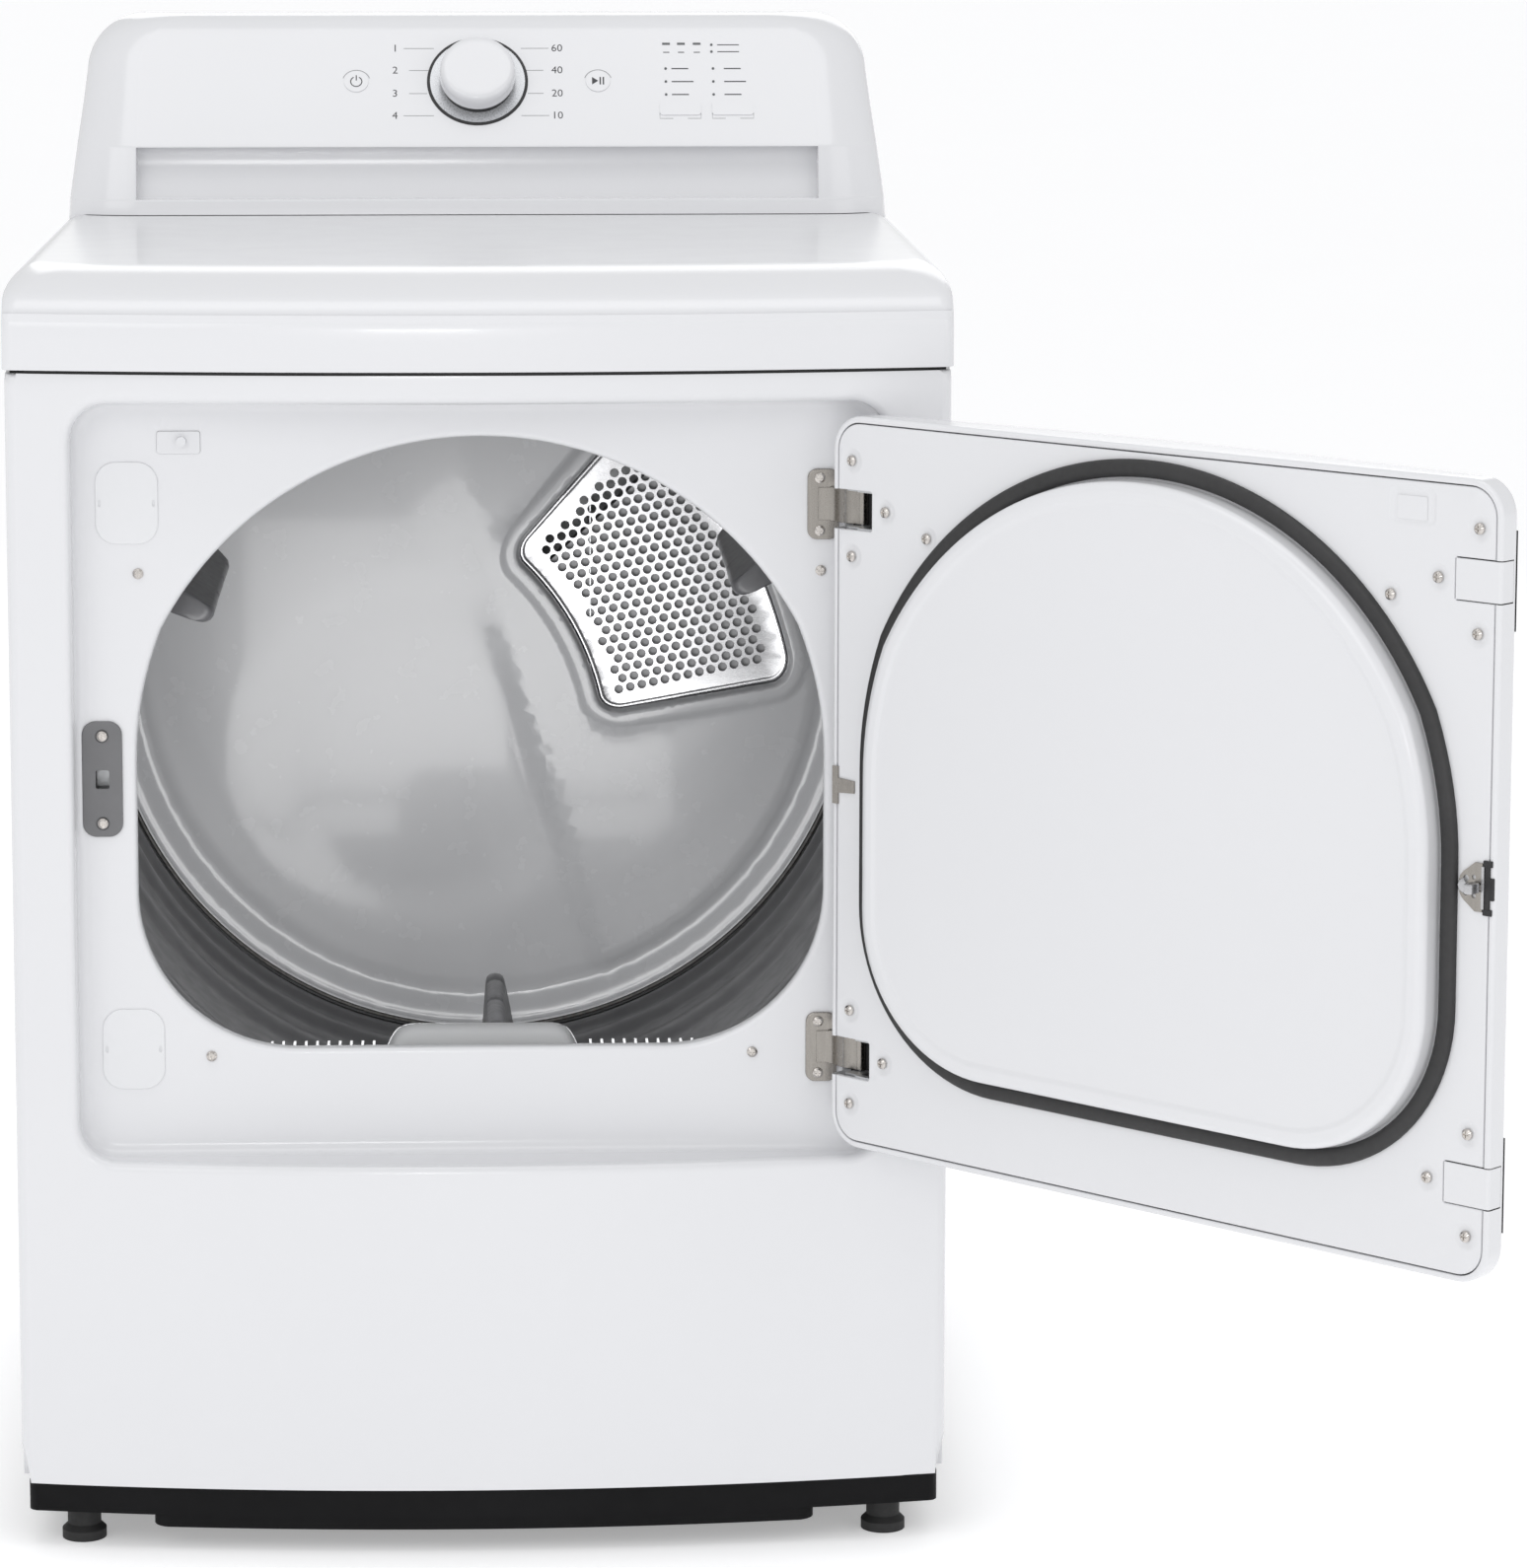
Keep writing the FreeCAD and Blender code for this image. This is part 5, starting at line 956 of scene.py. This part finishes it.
def door_outline(inset):
    """Door edge moved inwards, with straight sides divided at the hinge pockets."""
    radius = max(DOOR_CORNER - inset, 2.0)
    half, low, high = DOOR_HALF - inset, DOOR_LOW + inset, DOOR_HIGH - inset
    across = DOOR_HALF - DOOR_CORNER
    right = [h + s * POCKET_HALF for h in reversed(HINGE_HEIGHTS) for s in (-1, 1)]
    left = [h + s * POCKET_HALF for h in BLANK_HEIGHTS for s in (1, -1)]
    return (arc(half - radius, low + radius, radius, -90, 0, 9)
            + [(half, z) for z in right[:2] + [450.0, 576.0, 700.0] + right[2:]]
            + arc(half - radius, high - radius, radius, 0, 90, 9)
            + [(across - 2 * across * k / 24, high) for k in range(1, 24)]
            + arc(-half + radius, high - radius, radius, 90, 180, 9)
            + [(-half, z) for z in left[:2] + [700.0, 576.0, 450.0] + left[2:]]
            + arc(-half + radius, low + radius, radius, 180, 270, 9)
            + [(-across + 2 * across * k / 24, low) for k in range(1, 24)])


def in_pocket(x, z):
    """True on a door edge between the two sides of a hinge pocket."""
    heights = HINGE_HEIGHTS if x > 0 else BLANK_HEIGHTS
    return abs(x) > 280.0 and any(abs(z - h) < POCKET_HALF - 0.5 for h in heights)


def make_door_outer():
    """Bowed outer skin: rounded edge, side wall, rolled hem, open at the hinge pockets."""
    build = Build()
    hem, edge = 2.6, 7.0
    back = [(HEM, -2.5), (HEM, -0.4), (HEM - 0.4, 0.0), (hem, 0.0)]
    back += [(hem * flat, -hem * fall) for flat, fall in bend(72, 54, 36, 18, 0)]
    walls = [build.level(door_outline(inset), DOOR_BACK + depth) for inset, depth in back]
    front = [build.level(door_outline(edge * flat), lambda x: door_face(x) + edge * fall)
             for flat, fall in bend(*RISING)]
    for first, second in zip(walls, walls[1:] + front[:1]):
        edges = build.plan(first)
        for step, (ax, az) in enumerate(edges):
            after = (step + 1) % len(first)
            if not in_pocket((ax + edges[after][0]) / 2, (az + edges[after][1]) / 2):
                build.faces.append((first[step], first[after], second[after], second[step]))
    build.skin(front)
    inner = [(x, z) for x in range(-260, 261, 26) for z in range(330, 830, 62)]
    build.sheet([build.plan(front[-1])], door_face, inner)
    door_piece("door_outer_pressing", build, "white_steel", replaces=["door_outer_panel"], facing=(0, -1, 0))


def make_door_pocket_shade():
    """Black sheet inside the outer skin, seen only through the hinge pockets; it paints the shade in the door's
    hollow.
    """
    build = Build()
    half, deep = DOOR_HALF - 1.2, 70.0
    for low, high in ((340.0, 405.0), (745.0, 812.0)):
        for side in (-1, 1):
            spots = [(side * (half - deep * k / 6), door_face(half - deep * k / 6) + 1.4) for k in range(7)]
            spots.append((side * (half - deep), DOOR_BACK - 3.0))
            build.skin([build.loop([(x, y, low), (x, y, high)]) for x, y in spots], closed=False)
    # painted shade: a black sheet stands in for the shade inside the door behind the hinge pockets
    door_piece("door_pocket_shade", build, "black_plastic", smooth=False, facing=(0, 1, 0))


def inner_outline(grow):
    """Edge of the inner panel, running in around each pocket."""
    inset = HEM + 0.9 - grow
    half, low, high = DOOR_HALF - inset, DOOR_LOW + inset, DOOR_HIGH - inset
    radius = DOOR_CORNER - inset
    deep, pocket, cut = DOOR_HALF - POCKET_DEEP + grow, POCKET_HALF - grow, 1.5
    notch = [(half, -pocket), (deep + cut, -pocket), (deep, -pocket + cut),
             (deep, pocket - cut), (deep + cut, pocket), (half, pocket)]
    spots = arc(half - radius, low + radius, radius, -90, 0, 9)
    spots += [(x, height + z) for height in reversed(HINGE_HEIGHTS) for x, z in notch]
    spots += arc(half - radius, high - radius, radius, 0, 90, 9)
    spots += arc(-half + radius, high - radius, radius, 90, 180, 9)
    spots += [(-x, height + z) for height in BLANK_HEIGHTS for x, z in notch[::-1]]
    return spots + arc(-half + radius, low + radius, radius, 180, 270, 9)


def make_door_inner():
    """Inner panel: rolled edge, dished screw places, a stepped recess, and the plug."""
    build = Build()
    edge = [build.level(inner_outline(grow), DOOR_BACK + depth)
            for grow, depth in ((0.0, -3.2), (0.0, -1.0), (-0.29, -0.29), (-1.0, 0.0))]
    build.skin(edge)
    dishes = ((10.5, 0.0), (9.4, 0.06), (8.2, 0.28), (7.0, 0.6), (5.8, 0.82), (4.8, 0.88))
    for x, z in SCREW_SPOTS:
        rings = [build.level(circle(x, z, radius, 30), DOOR_BACK - depth) for radius, depth in dishes]
        build.skin(rings)
        build.cap(rings[-1])
    rings = [build.level(rounded(-238.5 + shrink, -199.5 - shrink, 810.5 + shrink, 837.5 - shrink,
                                 6.0 - shrink * 0.8, 4), DOOR_BACK - depth)
             for shrink, depth in ((0.0, 0.0), (0.9, 0.12), (2.0, 0.55), (3.0, 0.75))]
    build.skin(rings)
    holes = [dee(-2.5)] + [circle(x, z, dishes[0][0], 30) for x, z in SCREW_SPOTS] + [build.plan(rings[0])]
    build.sheet([build.plan(edge[-1])] + holes, DOOR_BACK)
    pad = rounded(-231.0, -206.5, 814.6, 831.0, 1.2, 2)
    build.sheet([build.plan(rings[-1]), pad], DOOR_BACK - 0.75)
    crest = build.level(rounded(-230.6, -206.9, 815.0, 830.6, 1.0, 2), DOOR_BACK - 0.05)
    build.band(build.level(pad, DOOR_BACK - 0.75), crest)
    build.cap(crest)
    plug = [(-2.5, 0.0), (-4.2, 0.2), (-4.8, 0.9), (-5.0, 2.0), (-5.0, PLUG - PLUG_BEND)]
    plug += [(-5.0 - PLUG_BEND * flat, PLUG - PLUG_BEND * fall) for flat, fall in bend(*RISING[1:])]
    plug += [(-16.0, PLUG), (-17.5, PLUG - 0.15), (-19.5, PLUG - 0.85), (-21.0, PLUG - 1.0), (-24.0, PLUG - 1.0)]
    rings = [build.level(dee(offset), DOOR_BACK + height) for offset, height in plug]
    build.skin(rings)
    build.cap(rings[-1])
    door_piece("door_inner_pressing", build, "white_steel", replaces=["door_inner_panel"], facing=(0, 1, 0),
               sharp=60)


def make_door_seal():
    """Hollow rubber seal pressed in around the plug."""
    build = Build()
    tall = RECESS_FLOOR - 0.4 - DOOR_BACK
    section = [(9.0, 0.1), (9.2, 1.0), (8.8, tall * 0.62), (7.6, tall * 0.86), (5.6, tall * 0.97), (3.2, tall),
               (0.8, tall * 0.97), (-1.2, tall * 0.86), (-2.6, tall * 0.62), (-3.2, 1.6), (-3.4, 0.1)]
    rings = [build.level(dee(offset), DOOR_BACK + height) for offset, height in section]
    build.skin(rings + rings[:1])
    door_piece("door_seal_ring", build, "seal_rubber", replaces=["door_seal"], sharp=60)


def make_door_blanks():
    """Blanks in the free side's pockets, wrapping over the door's edge."""
    build = Build()
    gap, hem, proud = 0.75, 2.8, 0.1
    half, edge = POCKET_HALF - gap, -DOOR_HALF - proud
    deep, lip = -DOOR_HALF + POCKET_DEEP - gap, door_face(DOOR_HALF) + 7.3
    line = [(deep, DOOR_BACK - 2.0), (deep, DOOR_BACK - 0.3), (deep - 0.4, DOOR_BACK + proud)]
    line += [(edge + hem * flat, DOOR_BACK + proud - hem * fall) for flat, fall in bend(*FALLING)]
    line += [(edge, DOOR_BACK - 8.0), (edge, lip), (-DOOR_HALF + 1.2, lip)]
    rows = [(-half, 1.6), (-half, 0.35), (-half + 0.3, 0.0), (half - 0.3, 0.0), (half, 0.35), (half, 1.6)]
    for height in BLANK_HEIGHTS:
        build.skin([build.loop([(x + drop, y, height + z) if x < -DOOR_HALF + 1.0 else (x, y - drop, height + z)
                                for z, drop in rows]) for x, y in line], closed=False)
    door_piece("door_blanks", build, "white_steel", replaces=["door_blank_covers"], facing=(0, 1, 0), sharp=40)


def make_strike():
    """D-shaped plate at the free edge with the pronged hook, and the black keeper beside it."""
    build = Build()
    low, high, straight, nose = 559.5, 592.5, -281.2, -262.0
    plate = [(straight, low + 0.2), (straight + 6.0, low)]
    plate += arc(nose - 13.0, DRUM_AXIS, 13.0, -60, 60, 12) + [(straight + 6.0, high), (straight, high - 0.2)]
    outlines = [plate] + [circle(x, z, radius, 12) for x, z, radius in (
        (-268.3, 581.0, 2.3), (-268.3, 571.6, 2.3), (-274.4, 582.4, 1.7), (-274.4, 569.8, 1.7))]
    build.sheet(outlines, DOOR_BACK + 1.5)
    for outline in outlines:
        build.wall(outline, DOOR_BACK + 1.5, DOOR_BACK - 1.0)
    door_piece("strike_plate", build, "nickel", replaces=["door_strike"], sharp=40)
    build = Build()
    prong = [(-279.6, 574.2), (-269.4, 574.2), (-267.2, 570.6), (-263.6, 572.4), (-262.4, 576.0),
             (-263.6, 579.6), (-267.2, 581.4), (-269.4, 577.8), (-279.6, 577.8)]
    crest = DOOR_BACK + 3.2
    middle = (-271.5, 576.0)
    top = [(middle[0] + (x - middle[0]) * 0.94, middle[1] + (z - middle[1]) * 0.86) for x, z in prong]
    build.skin([build.level(prong, DOOR_BACK + 1.4), build.level(prong, crest - 0.5), build.level(top, crest)])
    build.sheet([top], crest)
    build.bar(-280.0, -273.6, crest - 1.0, DOOR_BACK + 12.6, 572.4, 579.6, 1.3)
    build.bar(-282.8, -280.4, DOOR_BACK - 2.0, DOOR_BACK + 2.2, 561.5, 590.5, 0.5)
    door_piece("strike_hook", build, "stainless", sharp=40)
    build = Build()
    for x0, x1, rise, z0, z1 in ((-286.6, -282.8, 1.4, 560.0, 592.0), (-288.4, -281.6, 1.7, 590.2, 594.4),
                                 (-288.4, -281.6, 1.7, 557.6, 561.8), (-289.6, -286.0, 1.2, 568.0, 583.0)):
        build.bar(x0, x1, DOOR_BACK - 2.2, DOOR_BACK + rise, z0, z1, 0.4)
    door_piece("strike_keeper", build, "black_plastic", sharp=40)


# ------------------------------------------------------------------ hinges and frame fittings

def make_hinge_arms():
    """Gooseneck arms: a screwed plate, a strip bent out to the pin, and the eye around it."""
    build = Build()
    half, thick, floor = 12.5, 2.0, RECESS_FLOOR
    line = smooth_profile([(247.0, -335.1), (254.5, -335.4), (259.2, -338.0), (262.0, -344.0),
                           (266.3, -350.6), (271.8, -355.6), (277.0, -359.3)], 4.0, 4)
    eye = turned([(-half, 1.62), (-half, 3.2), (-half + 0.5, 3.7),
                  (half - 0.5, 3.7), (half, 3.2), (half, 1.62)], 28)
    for height in HINGE_HEIGHTS:
        build.cap(build.pad((239.0, 262.0, height - 26.5, height + 25.5), 7.0, 6, (
            (0.0, floor - 0.1), (0.0, floor - 1.9), (0.25, floor - 2.4), (0.8, floor - 2.6))))
        strips = []
        for sign in (1, -1):
            rows = []
            for step, (x, y) in enumerate(line):
                ax, ay = line[max(step - 1, 0)]
                bx, by = line[min(step + 1, len(line) - 1)]
                run = Vector((bx - ax, by - ay)).normalized()
                side = half * (1.0 if step > 4 else 0.96)
                rows.append(build.loop([
                    (x + run.y * sign * (thick / 2 - inset), y - run.x * sign * (thick / 2 - inset), height + z)
                    for z, inset in ((-side, 0.5), (-side + 0.5, 0.0), (side - 0.5, 0.0), (side, 0.5))]))
            build.skin(rows, closed=False)
            strips.append(rows)
        for end in (0, -1):
            build.skin([[row[end] for row in rows] for rows in strips], closed=False)
        build.merge([(x + HINGE[0], z + HINGE[1], y + height) for x, y, z in eye.verts], eye.faces)
    piece("hinge_goosenecks", build, "nickel", replaces=["hinge_arms"], sharp=50)


def make_catch_plate():
    """Grey plate over the catch, with its slot and two screw wells."""
    build = Build()
    floor = RECESS_FLOOR
    crest = build.pad((-291.5, -262.2, 533.5, 619.2), 10.0, 7, (
        (0.0, floor - 0.1), (0.0, floor - 1.5), (0.2, floor - 1.9), (0.7, floor - 2.1)))
    slot = rounded(-281.8, -271.8, 569.0, 583.0, 1.4, 3)
    wells = [circle(-276.8, z, 5.0, 24) for z in (608.4, 543.6)]
    build.sheet([build.plan(crest), slot] + wells, floor - 2.1)
    build.wall(slot, floor - 2.1, floor + 1.2)
    for well in wells:
        build.cap(build.wall(well, floor - 2.1, floor - 0.9))
    piece("catch_cover", build, "dark_steel", replaces=["catch_plate"], facing=(0, -1, 0), sharp=50)


def make_frame_blanks():
    """Flush blanks over the unused hinge places, with a small notch at each side."""
    build = Build()
    floor = RECESS_FLOOR
    for height in (779.8, 374.1):
        crest = build.pad((-279.3, -233.9, height - 30, height + 30), 15.0, 10, (
            (0.0, floor - 0.05), (0.0, floor - 0.7), (0.2, floor - 1.0), (0.6, floor - 1.15)))
        notches = [rounded(x - 1.0, x + 1.0, height - 2.4, height + 2.4, 0.9, 3) for x in (-276.2, -237.0)]
        build.sheet([build.plan(crest)] + notches, floor - 1.15)
        for notch in notches:
            build.cap(build.wall(notch, floor - 1.15, floor - 0.3))
    piece("frame_blanks", build, "inner_white", replaces=["frame_blank_covers"], facing=(0, -1, 0), sharp=50)


def make_seam_shade_strip():
    """Black strip behind the seam between the front panel and the top cover, painting the shade in the gap."""
    build = Build()
    reach = HALF - 4.0
    rows = []
    for k in range(49):
        x = -reach + 2 * reach * k / 48
        y = front_y(x) + 1.4 + (6.0 * max(0.0, abs(x) - reach + 5.0) / 5.0)
        rows.append(build.loop([(x, y + 8, 872.0), (x, y, 872.4), (x, y, 882.6), (x, y + 8, 883.0)]))
    build.skin(rows, closed=False)
    # painted shade: a black strip stands in for the shadow line in the seam gap
    piece("seam_shade_strip", build, "black_rubber", facing=(0, -1, 0))


def make_filter():
    """Lint filter that lifts out of the chute: convex grip and a blade with two windows."""
    build = Build()
    rows = []
    for share in np.linspace(0, 1, 15):
        z = 362.6 + 20.6 * math.sin(share * math.pi / 2)
        half = 71.5 - 14.5 * share ** 1.15
        bow = 15.0 * math.cos(share * math.pi / 2)
        row = []
        for sign in (-1, 1):
            for k in range(33):
                t = -sign * (2 * k / 32 - 1)
                edge = (max(0.0, abs(t) - 0.86) / 0.14) ** 2
                row.append((half * t, -296 + sign * (bow - 4.0 * edge), z - 1.6 * edge * share))
        rows.append(build.loop(row))
    build.skin(rows)
    build.cap(rows[0])
    half = 71.0
    near, far = -302.0, -290.0
    outlines = [rounded(-half, half, 222.0, 364.0, 3.0, 3), rounded(-half + 5, -2.0, 228.0, 356.0, 2.0, 3),
                rounded(2.0, half - 5, 228.0, 356.0, 2.0, 3)]
    for depth in (near, far):
        build.sheet(outlines, depth)
    for outline in outlines:
        build.wall(outline, near, far)
    piece("lint_filter_grip", build, "grey_plastic", "lint_filter", replaces=["lint_filter_frame"], sharp=50)


for make in (make_floor, make_light, make_camera, make_front_panel, make_top_cover, make_console, make_dial,
             make_print, make_back_wall, make_grille, make_drum, make_lifters, make_felt, make_door_outer,
             make_door_pocket_shade, make_door_inner, make_door_seal, make_door_blanks, make_strike, make_hinge_arms,
             make_catch_plate, make_frame_blanks, make_seam_shade_strip, make_filter):
    make()
